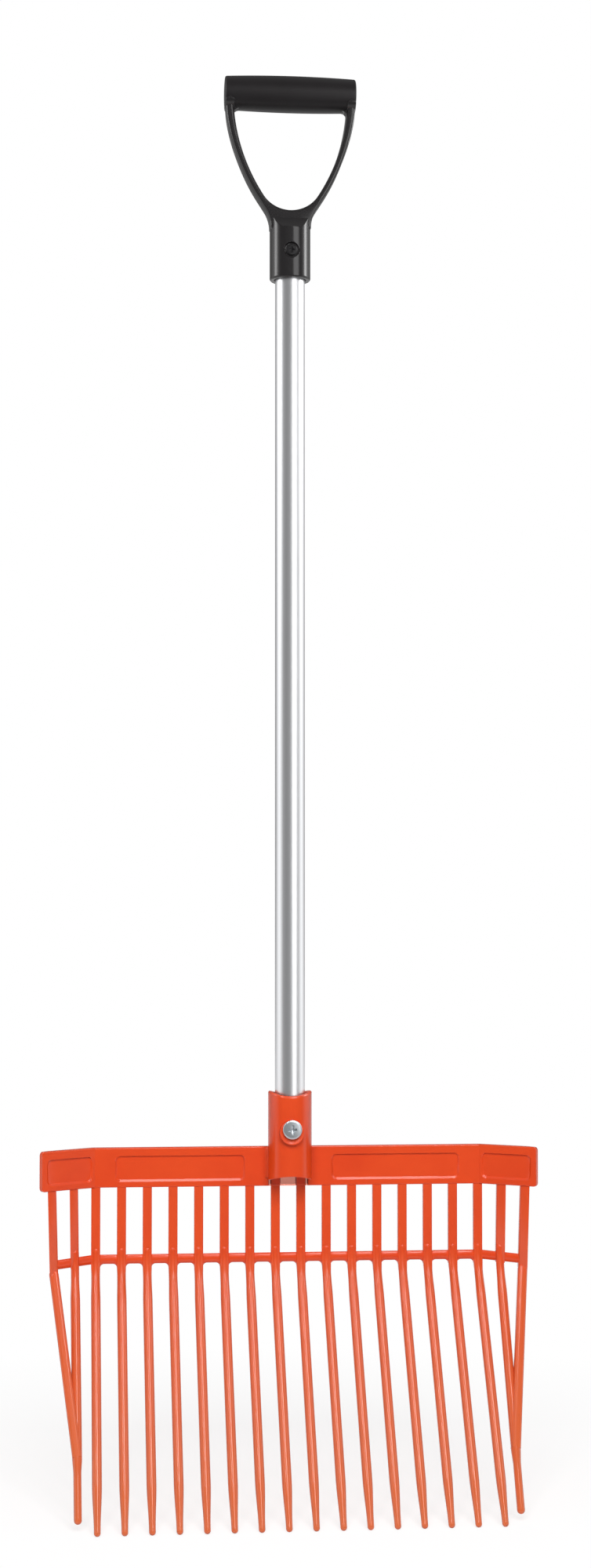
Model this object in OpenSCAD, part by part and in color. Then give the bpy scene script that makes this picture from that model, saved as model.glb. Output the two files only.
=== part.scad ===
// Manure fork: a moulded basket of tines on an aluminium tube with a moulded D grip.
// The shaft runs up along +Z, and the tines reach forward to -Y. The origin lies under the middle of the
// hand bar, on the shaft's axis, where a hook holds the part.

/* [Shaft] */
// Outside diameter of the tube
tube_d = 25.4; // [22:0.1:30]
// Wall of the tube
tube_wall = 1.5; // [1:0.1:3]
// Length of the tube from the head's floor to the grip's seat
tube_length = 805; // [500:1:1200]

/* [Head] */
// Number of tines between the two folds of the board
tine_count = 16; // [8:2:20]
// Distance between neighbouring tines
pitch = 21.8; // [18:0.1:26]
// Height of the board
board_h = 33.5; // [28:0.1:45]
// Thickness of the board
board_t = 7; // [6:0.1:10]
// Distance from the shaft's axis to the board's front face
board_front = 14; // [13.5:0.1:16]
// Width of the flat bars under the board
bar_w = 7.7; // [5:0.1:9]
// Thickness of the flat bars and of the cross rail
bar_t = 5.5; // [4:0.1:6.5]
// Open height between the board and the cross rail
window_h = 56.6; // [40:0.1:80]
// Height of the cross rail
rail_h = 7.9; // [4:0.1:10]
// Fillet under the cross rail beside each bar
corner_r = 3.3; // [1:0.1:5]

/* [Tines] */
// Diameter of a tine
rod_d = 8.1; // [6.5:0.1:10]
// Diameter of a tine at its tip
tip_d = 5.4; // [3:0.1:6]
// Length of a tine from the end of its bend to its tip
tine_reach = 217.5; // [150:0.5:300]
// Angle of a tine forward of the shaft's line
tine_angle = 34.5; // [20:0.5:45]
// Radius of the bend below the cross rail
bend_r = 40; // [25:1:60]
// Length over which a tine tapers to its tip
taper_length = 40; // [20:1:60]

/* [Wings] */
// Angle by which each end of the board folds forward
wing_angle = 33; // [15:1:45]
// Length of a wing from the fold
wing_length = 52.1; // [48:0.1:60]
// Distance from the last tine's axis out to the fold
fold_offset = 1.8; // [0:0.1:3]
// Width of the flat bars under a wing
wing_bar_w = 7.1; // [5:0.1:8]
// Length of a wing tine from the end of its bend to its tip
wing_reach = 202; // [140:0.5:217]
// Diameter of a wing tine at its blunt tip
wing_tip_d = 6.7; // [5:0.1:7]
// Angle of a wing tine forward of the shaft's line
wing_tine_angle = 30; // [18:0.5:45]
// Angle by which a wing tine leans inward
wing_toe = 0.7; // [0:0.1:3]
// Diameter of the brace from the outer bar to the wing tine
brace_d = 7.9; // [5:0.1:8.2]
// Share of the wing tine's reach at which the brace runs into it
brace_meet_share = 0.75; // [0.4:0.01:0.8]

/* [Socket] */
// Outside diameter of the head's socket
socket_d = 37; // [34:0.1:42]
// Length of the socket at its sides
socket_length = 75.5; // [60:0.5:100]
// Height of the socket's lower end above the board's lower edge
socket_rise = 7; // [2:0.1:12]
// Radius of the arc that hollows both ends of the socket
mouth_arc_r = 44; // [30:0.5:80]
// Diameter of the lead-in at the socket's mouth
mouth_d = 29.3; // [27:0.1:32]
// Depth of the lead-in
mouth_depth = 8; // [4:0.5:15]
// Thickness of the floor that the tube stands on
socket_floor = 4; // [2:0.1:8]

/* [Bolt] */
// Shank diameter of the head's bolt
bolt_d = 8; // [5:0.5:8]
// Shank length of the bolt
bolt_length = 53; // [51.5:0.5:60]
// Diameter of the bolt's head
bolt_head_d = 16; // [12:0.1:18]
// Height of the bolt's head
bolt_head_h = 5; // [3:0.1:6]
// Distance from the socket's mouth down to the bolt
bolt_drop = 31.5; // [24:0.5:34]
// Diameter of the round bosses under the bolt's head and the washer
boss_d = 20.6; // [18:0.1:24]
// Height of the bosses above the socket's wall
boss_proud = 2.5; // [1:0.1:4]
// Distance of the front boss's centre below the bolt
boss_drop = 2.8; // [0:0.1:4]
// Outside diameter of the washer
washer_d = 16; // [14:0.1:20]
// Thickness of the washer
washer_t = 1.6; // [1:0.1:2.5]
// Width of the nut across its flats
nut_flats = 13; // [10:0.5:14]
// Height of the nut's hexagon
nut_hex_h = 5.5; // [4:0.1:6.5]
// Height of the nut's round locking collar
nut_collar_h = 2.5; // [1:0.1:3]

/* [Grip] */
// Length of the hand bar
hand_bar_length = 112.5; // [100:0.5:125]
// Diameter of the hand bar at its middle
hand_bar_d = 31; // [26:0.1:34]
// Diameter of the hand bar at its ends
hand_bar_end_d = 28.4; // [24:0.1:30]
// Height of the hand bar's axis above the tube's end
hand_bar_rise = 116.7; // [100:0.1:130]
// Outside diameter of the grip's socket
grip_socket_d = 35; // [31:0.1:40]
// Depth of the grip's socket over the tube
grip_socket_depth = 45.5; // [35:0.5:70]
// Height of the window's lowest point above the tube's end
window_rise = 14.4; // [12:0.1:25]
// Radius of the window's lower end
window_r = 28; // [26:0.5:34]
// Radius of the arms' curve above the window's lower end
arm_r = 160; // [120:1:220]
// Angle from level at which the arms leave the window's lower end
arm_lean = 57; // [50:0.5:62]
// Thickness of an arm
arm_t = 5.4; // [4:0.1:7]
// Depth of the arms from front to back
arm_depth = 18; // [12:0.5:26]
// Radius of the flare from the socket into the arms
flare_r = 30; // [15:0.5:40]

/* [Grip screw] */
// Shank diameter of the grip's screw
screw_d = 4.2; // [3:0.1:5]
// Shank length of the screw
screw_length = 14; // [10:0.5:16]
// Diameter of the screw's head
screw_head_d = 9.6; // [8:0.1:11]
// Height of the screw's head
screw_head_h = 2.2; // [1.5:0.1:3]
// Height of the screw above the socket's rim
screw_rise = 23; // [18:0.5:30]
// Diameter of the round recess around the screw's head
screw_recess_d = 12.7; // [12:0.1:14]
// Depth of that recess at its middle
screw_recess_depth = 2; // [1.5:0.1:3]

/* [Hidden] */
$fn = 64;

// Clearance between the tube and the sockets, and around bolt and screw shanks
fit_gap = 0.3;
// Overrun of every cut past the faces that it opens
overrun = 1;
// Colours of the pieces
head_colour = "#EA5430";
grip_colour = "#2E2C2D";
tube_colour = "#D9DADC";
zinc_colour = "#A9AEB2";

// Small sizes of the board: panels, wing corners and the pocket under the socket
panel_depth = 1.2;
panel_r = 4;
panel_top_margin = 7.1;
panel_bottom_margin = 4.9;
panel_inner_x = 37.7;
panel_outer_margin = 18.9;
wing_panel_start = 4;
wing_panel_end_margin = 8.5;
wing_corner_r = 2.5;
pocket_depth = 4;
pocket_w = 33.6;

// Small sizes of the tines: steps in diameter where the tine leaves its bar and its bend, ridge above
// the bend, swell below it, drop to the rail, drops of the rail and the bars on the wings, and inward steps
// of the wing tine and the brace from the middles of their bars
neck_step = 0.6;
mould_step = 0.2;
ridge_rise = 1;
swell_length = 20;
rail_step = 2;
wing_rail_drop = 0.6;
wing_bar_tail = 2;
brace_bar_tail = 5.5;
wing_rod_step = 0.2;
brace_step = 1.9;

// Small sizes of the fasteners: recess arms, edge chamfers and the screw's point
bolt_recess_span = 7.5;
bolt_recess_w = 2;
bolt_recess_depth = 3;
bolt_head_edge = 1.2;
screw_recess_span = 5;
screw_recess_w = 1.2;
screw_slot_depth = 1.4;
screw_head_edge = 0.8;
screw_point = 3;
bolt_point = 1;
nut_collar_d = 11.5;

// Small sizes of the grip: edge of the hand bar, seats of the arms, shoulders of the socket
hand_bar_edge = 1.5;
cup_proud = 1.2;
shoulder_start = 1.5;
shoulder_h = 12;
rim_chamfer = 1.2;
// Number of straight steps in each arc of the grip's outline and in the hand bar's crown
arc_steps = 24;
crown_steps = 12;

// Heights of the head, counted from the tine tips
bend_z = tip_d / 2 + tine_reach * cos(tine_angle) + bend_r * sin(tine_angle);
rail_top = bend_z - rail_step;
rail_bottom = rail_top - rail_h;
board_bottom = rail_top + window_h;
board_top = board_bottom + board_h;
socket_bottom = board_bottom + socket_rise;
socket_top = socket_bottom + socket_length;
socket_r = socket_d / 2;
mouth_dip = mouth_arc_r - sqrt(mouth_arc_r * mouth_arc_r - socket_r * socket_r);
tube_seat = socket_bottom + mouth_dip + socket_floor;
bolt_z = socket_top - bolt_drop;

// Places across the head, counted from the shaft's axis
plane_y = board_front + board_t / 2;
fold_x = (tine_count - 1) / 2 * pitch + fold_offset;
boss_face = socket_r + boss_proud;

// Heights of the grip
grip_seat = tube_seat + tube_length;
grip_rim = grip_seat - grip_socket_depth;
window_z = grip_seat + window_rise;
hand_bar_z = grip_seat + hand_bar_rise;
hook_z = hand_bar_z - hand_bar_d / 2;
screw_z = grip_rim + screw_rise;
screw_seat = grip_socket_d / 2 - screw_recess_depth;

function tine_name(i) = str("tine_", i < 10 ? "0" : "", i);
function tine_x(i) = (i - (tine_count + 1) / 2) * pitch;
// Place of a wing bar, counted in pitches from the last tine
function wing_x(i) = fold_x + (i * pitch - fold_offset) * cos(wing_angle);
function wing_y(x) = plane_y - (x - fold_x) * tan(wing_angle);
// Points of an arc around a centre, with angles counted from straight down towards +X
function arc(centre, r, from, to) =
    [for (k = [0 : arc_steps]) centre + r * [sin(from + (to - from) * k / arc_steps),
                                             -cos(from + (to - from) * k / arc_steps)]];
function flipped(points) = [for (k = [len(points) - 1 : -1 : 0]) [-points[k][0], points[k][1]]];

// Moves what is drawn up from the tine tips to its place below the hook
module hung() {
    translate([0, 0, -hook_z]) children();
}

// A cylinder along the front to back direction, from one depth to another
module crosswise(x, z, from, to, d) {
    translate([x, from, z]) rotate([-90, 0, 0]) cylinder(d = d, h = to - from);
}

// A cross recess cut into a head that faces forward
module cross_recess(span, width, depth) {
    for (turn = [0, 90])
        rotate([0, turn, 0])
            translate([-span / 2, -overrun, -width / 2]) cube([span, depth + overrun, width]);
}

// A flat shape drawn in X and Z, given a depth along Y around the middle
module upright(depth) {
    rotate([90, 0, 0]) linear_extrude(depth, center = true) children();
}

// A rectangle with round corners
module rounded(width, height, r) {
    translate([0, r]) square([width, height - 2 * r]);
    translate([r, 0]) square([width - 2 * r, height]);
    for (x = [r, width - r])
        for (y = [r, height - r])
            translate([x, y]) circle(r);
}

// What has to be cut away to round one corner, with the corner at the origin
module corner_waste(r) {
    difference() {
        translate([-overrun, -overrun]) square([r + overrun, r + overrun]);
        translate([r, r]) circle(r);
    }
}

// A round tine from the start of its bend, which lies at the origin, down to its tip
module bent_rod(angle, reach, top_d, end_d) {
    cylinder(d = top_d, h = ridge_rise);
    translate([0, 0, ridge_rise]) sphere(d = top_d);
    translate([0, -bend_r, 0]) rotate([-90, 0, 90])
        rotate_extrude(angle = angle) translate([bend_r, 0]) circle(d = top_d);
    translate([0, -bend_r * (1 - cos(angle)), -bend_r * sin(angle)]) rotate([-angle, 0, 0]) {
        translate([0, 0, -swell_length]) cylinder(d1 = rod_d, d2 = top_d + mould_step, h = swell_length);
        translate([0, 0, taper_length - reach])
            cylinder(d = rod_d, h = reach - taper_length - swell_length);
        translate([0, 0, -reach]) cylinder(d1 = end_d, d2 = rod_d, h = taper_length);
        translate([0, 0, -reach]) sphere(d = end_d);
    }
}

// A flat bar under the board with a round tine that bends forward out of its lower end
module tine(i) {
    bar_bottom = rail_bottom - corner_r;
    color(head_colour) hung() translate([tine_x(i), plane_y, 0]) {
        translate([-bar_w / 2, -bar_t / 2, bar_bottom]) cube([bar_w, bar_t, board_bottom - bar_bottom]);
        translate([0, 0, bend_z]) bent_rod(tine_angle, tine_reach, bar_w - neck_step, tip_d);
    }
}

// A piece of a wing's cross section between two places along X, skewed with the wing
module wing_slab(from, to, low, high) {
    half = bar_t / 2;
    translate([0, 0, low]) linear_extrude(high - low)
        polygon([[from, wing_y(from) - half], [to, wing_y(to) - half],
                 [to, wing_y(to) + half], [from, wing_y(from) + half]]);
}

// The two bars of the right wing, the wing tine and the brace that runs into it
module wing_tines() {
    inner_x = wing_x(1);
    outer_x = wing_x(2);
    half = wing_bar_w / 2;
    brace_z = rail_bottom - brace_bar_tail;
    meet = brace_meet_share * wing_reach;
    meet_y = -bend_r * (1 - cos(wing_tine_angle)) - meet * sin(wing_tine_angle);
    meet_z = -bend_r * sin(wing_tine_angle) - meet * cos(wing_tine_angle);
    brace_from = [outer_x - brace_step, wing_y(outer_x), brace_z];
    rod_x = inner_x - wing_rod_step;
    brace_to = [rod_x + meet_z * sin(wing_toe), wing_y(inner_x) + meet_y, bend_z + meet_z * cos(wing_toe)];
    run = brace_to - brace_from;
    wing_slab(inner_x - half, inner_x + half, rail_bottom - wing_bar_tail, board_bottom);
    wing_slab(outer_x - half, outer_x + half, brace_z, board_bottom);
    translate([rod_x, wing_y(inner_x), bend_z]) rotate([0, wing_toe, 0])
        bent_rod(wing_tine_angle, wing_reach, wing_bar_w - neck_step, wing_tip_d);
    translate(brace_from) sphere(d = brace_d + mould_step);
    translate(brace_from) rotate([0, acos(run[2] / norm(run)), atan2(run[1], run[0])])
        cylinder(d = brace_d, h = norm(run));
}

module wing_tines_right() {
    color(head_colour) hung() wing_tines();
}

module wing_tines_left() {
    color(head_colour) hung() mirror([1, 0, 0]) wing_tines();
}

// The rail across the bars: one short length between each two neighbours
module cross_rail() {
    gap = pitch - bar_w;
    first_x = tine_x(tine_count) + bar_w / 2;
    color(head_colour) hung() {
        for (i = [1 : tine_count - 1])
            translate([tine_x(i) + bar_w / 2, plane_y, rail_bottom]) upright(bar_t) {
                square([gap, rail_h]);
                intersection() {
                    mirror([0, 1]) corner_waste(corner_r);
                    mirror([0, 1]) square([gap, corner_r]);
                }
                intersection() {
                    translate([gap, 0]) rotate(180) corner_waste(corner_r);
                    mirror([0, 1]) square([gap, corner_r]);
                }
            }
        for (side = [0, 1])
            mirror([side, 0, 0]) {
                wing_slab(first_x, wing_x(1) - wing_bar_w / 2,
                          rail_bottom - wing_rail_drop, rail_top - wing_rail_drop);
                wing_slab(wing_x(1) + wing_bar_w / 2, wing_x(2) - wing_bar_w / 2,
                          rail_bottom - 2 * wing_rail_drop, rail_top - 2 * wing_rail_drop);
            }
    }
}

// Moves to the right fold, with X along the wing and Y straight through it
module on_wing() {
    translate([fold_x, plane_y, 0]) rotate([0, 0, -wing_angle]) children();
}

// Half of the board's outline seen from above, from the front of the fold round to its back
function wing_outline(half) = [
    [fold_x - half * tan(wing_angle / 2), plane_y - half],
    [fold_x + wing_length * cos(wing_angle) - half * sin(wing_angle),
     plane_y - wing_length * sin(wing_angle) - half * cos(wing_angle)],
    [fold_x + wing_length * cos(wing_angle) + half * sin(wing_angle),
     plane_y - wing_length * sin(wing_angle) + half * cos(wing_angle)],
    [fold_x + half * tan(wing_angle / 2), plane_y + half]];

// The board with its folded ends, its shallow panels and the pocket under the socket
module head_board() {
    right = wing_outline(board_t / 2);
    panel_z = board_bottom + panel_bottom_margin;
    panel_h = board_h - panel_bottom_margin - panel_top_margin;
    panel_w = fold_x - panel_inner_x - panel_outer_margin;
    wing_panel_w = wing_length - wing_panel_start - wing_panel_end_margin;
    pocket_h = socket_rise + mouth_dip;
    color(head_colour) hung() difference() {
        translate([0, 0, board_bottom]) linear_extrude(board_h) polygon(concat(right, flipped(right)));
        for (side = [0, 1])
            mirror([side, 0, 0]) {
                translate([panel_inner_x, board_front, panel_z])
                    upright(2 * panel_depth) rounded(panel_w, panel_h, panel_r);
                on_wing() translate([wing_panel_start, -board_t / 2, panel_z])
                    upright(2 * panel_depth) rounded(wing_panel_w, panel_h, panel_r);
                on_wing() translate([wing_length, 0, board_bottom])
                    upright(board_t + 2 * overrun) mirror([1, 0]) corner_waste(wing_corner_r);
                on_wing() translate([wing_length, 0, board_top])
                    upright(board_t + 2 * overrun) rotate(180) corner_waste(wing_corner_r);
            }
        difference() {
            translate([-pocket_w / 2, board_front - overrun, board_bottom - overrun])
                cube([pocket_w, pocket_depth + overrun, pocket_h + overrun]);
            for (x = [-pitch / 2, pitch / 2])
                translate([x - bar_w / 2, board_front - 2 * overrun, board_bottom - 2 * overrun])
                    cube([bar_w, pocket_depth + 4 * overrun, pocket_h + 4 * overrun]);
        }
    }
}

// The socket that takes the tube, hollowed at both ends, with bosses for the bolt
module head_socket() {
    bore_d = tube_d + 2 * fit_gap;
    cut_length = 4 * socket_d;
    color(head_colour) hung() difference() {
        union() {
            translate([0, 0, socket_bottom]) cylinder(d = socket_d, h = socket_length);
            crosswise(0, bolt_z - boss_drop, -boss_face, 0, boss_d);
            crosswise(0, bolt_z, 0, boss_face, boss_d);
        }
        translate([0, 0, tube_seat]) cylinder(d = bore_d, h = socket_length);
        translate([0, 0, socket_top - mouth_depth]) cylinder(d1 = bore_d, d2 = mouth_d, h = mouth_depth);
        translate([0, 0, socket_top]) cylinder(d = mouth_d, h = overrun);
        crosswise(0, socket_top - mouth_dip + mouth_arc_r, -socket_d, socket_d, 2 * mouth_arc_r);
        crosswise(0, socket_bottom + mouth_dip - mouth_arc_r, -socket_d, socket_d, 2 * mouth_arc_r);
        crosswise(0, bolt_z, -socket_d, socket_d, bolt_d + 2 * fit_gap);
        translate([-cut_length / 2, board_front, board_bottom])
            cube([cut_length, socket_d, board_h]);
    }
}

// The tube, drilled for the head's bolt and the grip's screw
module shaft_tube() {
    color(tube_colour) hung() difference() {
        translate([0, 0, tube_seat]) cylinder(d = tube_d, h = tube_length);
        translate([0, 0, tube_seat - overrun])
            cylinder(d = tube_d - 2 * tube_wall, h = tube_length + 2 * overrun);
        crosswise(0, bolt_z, -tube_d, tube_d, bolt_d + 2 * fit_gap);
        crosswise(0, screw_z, -tube_d, 0, screw_d + 2 * fit_gap);
    }
}

// The bolt that holds the head on the tube
module head_bolt() {
    color(zinc_colour) hung() translate([0, -boss_face, bolt_z]) difference() {
        rotate([-90, 0, 0]) rotate_extrude()
            polygon([[0, -bolt_head_h], [bolt_head_d / 2 - bolt_head_edge, -bolt_head_h],
                     [bolt_head_d / 2, bolt_head_edge - bolt_head_h], [bolt_head_d / 2, 0],
                     [bolt_d / 2, 0], [bolt_d / 2, bolt_length - bolt_point],
                     [bolt_d / 2 - bolt_point, bolt_length], [0, bolt_length]]);
        translate([0, -bolt_head_h, 0])
            cross_recess(bolt_recess_span, bolt_recess_w, bolt_recess_depth);
    }
}

// The flat washer behind the socket
module head_washer() {
    color(zinc_colour) hung() difference() {
        crosswise(0, bolt_z, boss_face, boss_face + washer_t, washer_d);
        crosswise(0, bolt_z, boss_face - overrun, boss_face + washer_t + overrun, bolt_d + 2 * fit_gap);
    }
}

// The lock nut, a hexagon with a round collar
module head_nut() {
    seat = boss_face + washer_t;
    corner_d = nut_flats / cos(30);
    color(zinc_colour) hung() difference() {
        union() {
            translate([0, seat, bolt_z]) rotate([-90, 0, 0]) cylinder(d = corner_d, h = nut_hex_h, $fn = 6);
            crosswise(0, bolt_z, seat + nut_hex_h, seat + nut_hex_h + nut_collar_h, nut_collar_d);
        }
        crosswise(0, bolt_z, seat - overrun, seat + nut_hex_h + nut_collar_h + overrun, bolt_d + 2 * fit_gap);
    }
}

// The right half of the grip's yoke, from the socket's side over the arm to the window's lowest point
function yoke_outline() =
    let (window_centre = [0, window_z + window_r],
         arm_start = window_centre + window_r * [sin(arm_lean), -cos(arm_lean)],
         arm_centre = arm_start + arm_r * [-sin(arm_lean), cos(arm_lean)],
         arm_end = acos((arm_centre[1] - hand_bar_z) / arm_r),
         outer_start = arm_start + arm_t * [sin(arm_lean), -cos(arm_lean)],
         flare_turn = 90 - arm_lean,
         flare_x = grip_socket_d / 2 + flare_r * (1 - cos(flare_turn)),
         flare_z = outer_start[1] - flare_r * sin(flare_turn) - (outer_start[0] - flare_x) * tan(arm_lean),
         flare_centre = [grip_socket_d / 2 + flare_r, flare_z])
    concat(
        arc(flare_centre, flare_r, -90, -90 - flare_turn),
        arc(arm_centre, arm_r + arm_t, arm_lean, arm_end),
        arc(arm_centre, arm_r, arm_end, arm_lean),
        arc(window_centre, window_r, arm_lean, 0));

// Radius of the hand bar at a share of its half length
function crown(share) = hand_bar_d / 2 - (hand_bar_d - hand_bar_end_d) / 2 * share * share;

// The hand bar, fuller at its middle, with small edges at its ends
module hand_bar() {
    half = hand_bar_length / 2;
    reach = half - hand_bar_edge;
    end_r = crown(1) - hand_bar_edge;
    translate([0, 0, hand_bar_z]) rotate([0, 90, 0]) rotate_extrude()
        polygon(concat([[0, -half], [end_r, -half]],
                       [for (k = [-crown_steps : crown_steps])
                           [crown(k / crown_steps), reach * k / crown_steps]],
                       [[end_r, half], [0, half]]));
}

// The D grip: hand bar, yoke and the socket that takes the tube
module d_grip() {
    right = yoke_outline();
    shoulder_z = grip_seat + shoulder_start;
    half_depth = arm_depth / 2;
    socket_half = grip_socket_d / 2;
    cup_r = hand_bar_end_d / 2 + cup_proud;
    cup_x = right[2 * arc_steps + 2][0];
    color(grip_colour) hung() difference() {
        union() {
            hand_bar();
            upright(arm_depth) polygon(concat(right, flipped(right)));
            for (side = [0, 1])
                mirror([side, 0, 0]) intersection() {
                    translate([cup_x, 0, hand_bar_z]) rotate([0, 90, 0]) cylinder(r = cup_r, h = arm_t);
                    translate([0, -cup_r, hand_bar_z - cup_r]) cube([hand_bar_length, 2 * cup_r, cup_r]);
                }
            intersection() {
                translate([0, 0, grip_rim]) rotate_extrude()
                    polygon([[0, 0], [socket_half - rim_chamfer, 0], [socket_half, rim_chamfer],
                             [socket_half, shoulder_z + shoulder_h - grip_rim],
                             [0, shoulder_z + shoulder_h - grip_rim]]);
                rotate([90, 0, 90]) linear_extrude(grip_socket_d, center = true)
                    polygon([[-socket_half, grip_rim], [socket_half, grip_rim],
                             [socket_half, shoulder_z], [half_depth, shoulder_z + shoulder_h],
                             [-half_depth, shoulder_z + shoulder_h], [-socket_half, shoulder_z]]);
            }
        }
        translate([0, 0, grip_rim - overrun])
            cylinder(d = tube_d + 2 * fit_gap, h = grip_socket_depth + overrun);
        crosswise(0, screw_z, -grip_socket_d, -screw_seat, screw_recess_d);
        crosswise(0, screw_z, -grip_socket_d, 0, screw_d + 2 * fit_gap);
    }
}

// The screw through the grip's socket into the tube
module grip_screw() {
    color(grip_colour) hung() translate([0, -screw_seat, screw_z]) difference() {
        rotate([-90, 0, 0]) rotate_extrude()
            polygon([[0, -screw_head_h], [screw_head_d / 2 - screw_head_edge, -screw_head_h],
                     [screw_head_d / 2, screw_head_edge - screw_head_h], [screw_head_d / 2, 0],
                     [screw_d / 2, 0], [screw_d / 2, screw_length - screw_point], [0, screw_length]]);
        translate([0, -screw_head_h, 0])
            cross_recess(screw_recess_span, screw_recess_w, screw_slot_depth);
    }
}

d_grip();
grip_screw();
shaft_tube();
head_socket();
head_board();
cross_rail();
for (i = [1 : tine_count]) tine(i);
wing_tines_left();
wing_tines_right();
head_bolt();
head_washer();
head_nut();
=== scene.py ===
"""Manure fork: a moulded basket of tines on an aluminium tube with a D grip, on a pale studio floor."""

import math

import bmesh
import bpy
import numpy as np
from mathutils import Matrix, Vector


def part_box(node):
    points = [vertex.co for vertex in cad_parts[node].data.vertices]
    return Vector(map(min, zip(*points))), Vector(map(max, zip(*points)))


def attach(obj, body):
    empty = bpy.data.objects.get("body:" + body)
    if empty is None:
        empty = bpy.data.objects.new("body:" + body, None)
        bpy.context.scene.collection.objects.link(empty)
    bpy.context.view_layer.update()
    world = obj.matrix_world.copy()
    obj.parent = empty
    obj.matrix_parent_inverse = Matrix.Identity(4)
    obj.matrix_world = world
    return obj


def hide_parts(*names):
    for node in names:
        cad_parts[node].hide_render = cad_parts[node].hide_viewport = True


bl_info = {
    "name": "Manure fork",
    "version": (1, 0, 0),
    "blender": (4, 5, 0),
    "location": "View3D > Sidebar > Fork",
    "description": "Builds the moulded pieces of a manure fork around its frame",
    "category": "Add Mesh",
}

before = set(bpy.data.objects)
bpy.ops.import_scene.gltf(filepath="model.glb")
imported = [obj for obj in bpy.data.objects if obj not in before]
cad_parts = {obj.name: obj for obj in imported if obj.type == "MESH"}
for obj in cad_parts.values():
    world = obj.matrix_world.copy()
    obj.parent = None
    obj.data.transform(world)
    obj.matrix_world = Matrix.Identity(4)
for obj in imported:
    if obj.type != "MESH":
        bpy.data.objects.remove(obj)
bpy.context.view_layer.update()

# Places that come from the frame, in metres. The shaft's axis is X = Y = 0.
MM = 0.001
TINES = sorted(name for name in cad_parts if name.startswith("tine_"))
TINE_X = np.array([(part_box(name)[0].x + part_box(name)[1].x) / 2 for name in TINES])
PITCH = TINE_X[1] - TINE_X[0]
TUBE_LOW, TUBE_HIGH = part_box("shaft_tube")
BOARD_LOW, BOARD_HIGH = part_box("head_board")
BOARD_MIDDLE = (BOARD_LOW.z + BOARD_HIGH.z) / 2
BOARD_HALF_H = (BOARD_HIGH.z - BOARD_LOW.z) / 2
SOCKET_LOW, SOCKET_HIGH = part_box("head_socket")
GRIP_LOW, GRIP_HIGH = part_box("d_grip")
BOLT_LOW, BOLT_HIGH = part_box("head_bolt")
SCREW_LOW, SCREW_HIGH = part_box("grip_screw")
WASHER_LOW, WASHER_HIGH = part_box("head_washer")
NUT_LOW, NUT_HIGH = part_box("head_nut")
RAIL_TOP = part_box("cross_rail")[1].z
TIP_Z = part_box(TINES[0])[0].z
BOLT_Z = (BOLT_LOW.z + BOLT_HIGH.z) / 2
SCREW_Z = (SCREW_LOW.z + SCREW_HIGH.z) / 2

# Pieces that some of the lamps shine on alone
HEAD = TINES + ["cross_rail", "head_board", "head_socket", "head_bolt",
                "wing_tines_left", "wing_tines_right"]
HANDLE = ["shaft_tube", "d_grip", "grip_screw"]

# Angles of the rows of a quarter round, and of the rings of a round end from its pole
QUARTER = np.linspace(0, np.pi / 2, 6)
CAP = np.linspace(0.08, 1, 8)[:-1] * np.pi / 2

# Radius of the small ring at the axis of a turned form
POLE_R = 0.1 * MM

# Shares of a wing tine's reach at which its brace runs into it, and of the brace at which their web starts
MEET_SHARE = 0.75
WEB_SHARE = 0.66

# Shares of the painted tip light at the end of the slim tines' bend and at the rail: a lighter, yellower tone
# that stands in for their highlights and the light coming through them. The tips have all of it.
SLIM_AT_BEND = 0.45
SLIM_AT_RAIL = 0.1

# Strengths of the studio's own glow towards the front and the back, and of its sides as metal mirrors them
FRONT_GLOW = 0.3
BACK_GLOW = 0.15
SIDE_GLOW = 1.45


def lin(hex_colour):
    """Linear RGBA of an sRGB hex colour."""
    channels = [int(hex_colour[k:k + 2], 16) / 255 for k in (1, 3, 5)]
    return tuple(c / 12.92 if c <= 0.04045 else ((c + 0.055) / 1.055) ** 2.4 for c in channels) + (1.0,)


def length(name, description, millimetres):
    """A size that a user may change, kept in metres."""
    return bpy.props.FloatProperty(name=name, description=description, default=millimetres * MM, min=0.0,
                                   precision=5, unit="LENGTH")


def angle(name, description, degrees):
    """An angle that a user may change."""
    return bpy.props.FloatProperty(name=name, description=description, default=math.radians(degrees),
                                   subtype="ANGLE")


def colour(name, description, hex_colour):
    """A colour that a user may change."""
    return bpy.props.FloatVectorProperty(name=name, description=description, default=lin(hex_colour), size=4,
                                         min=0.0, max=1.0, subtype="COLOR")


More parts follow.
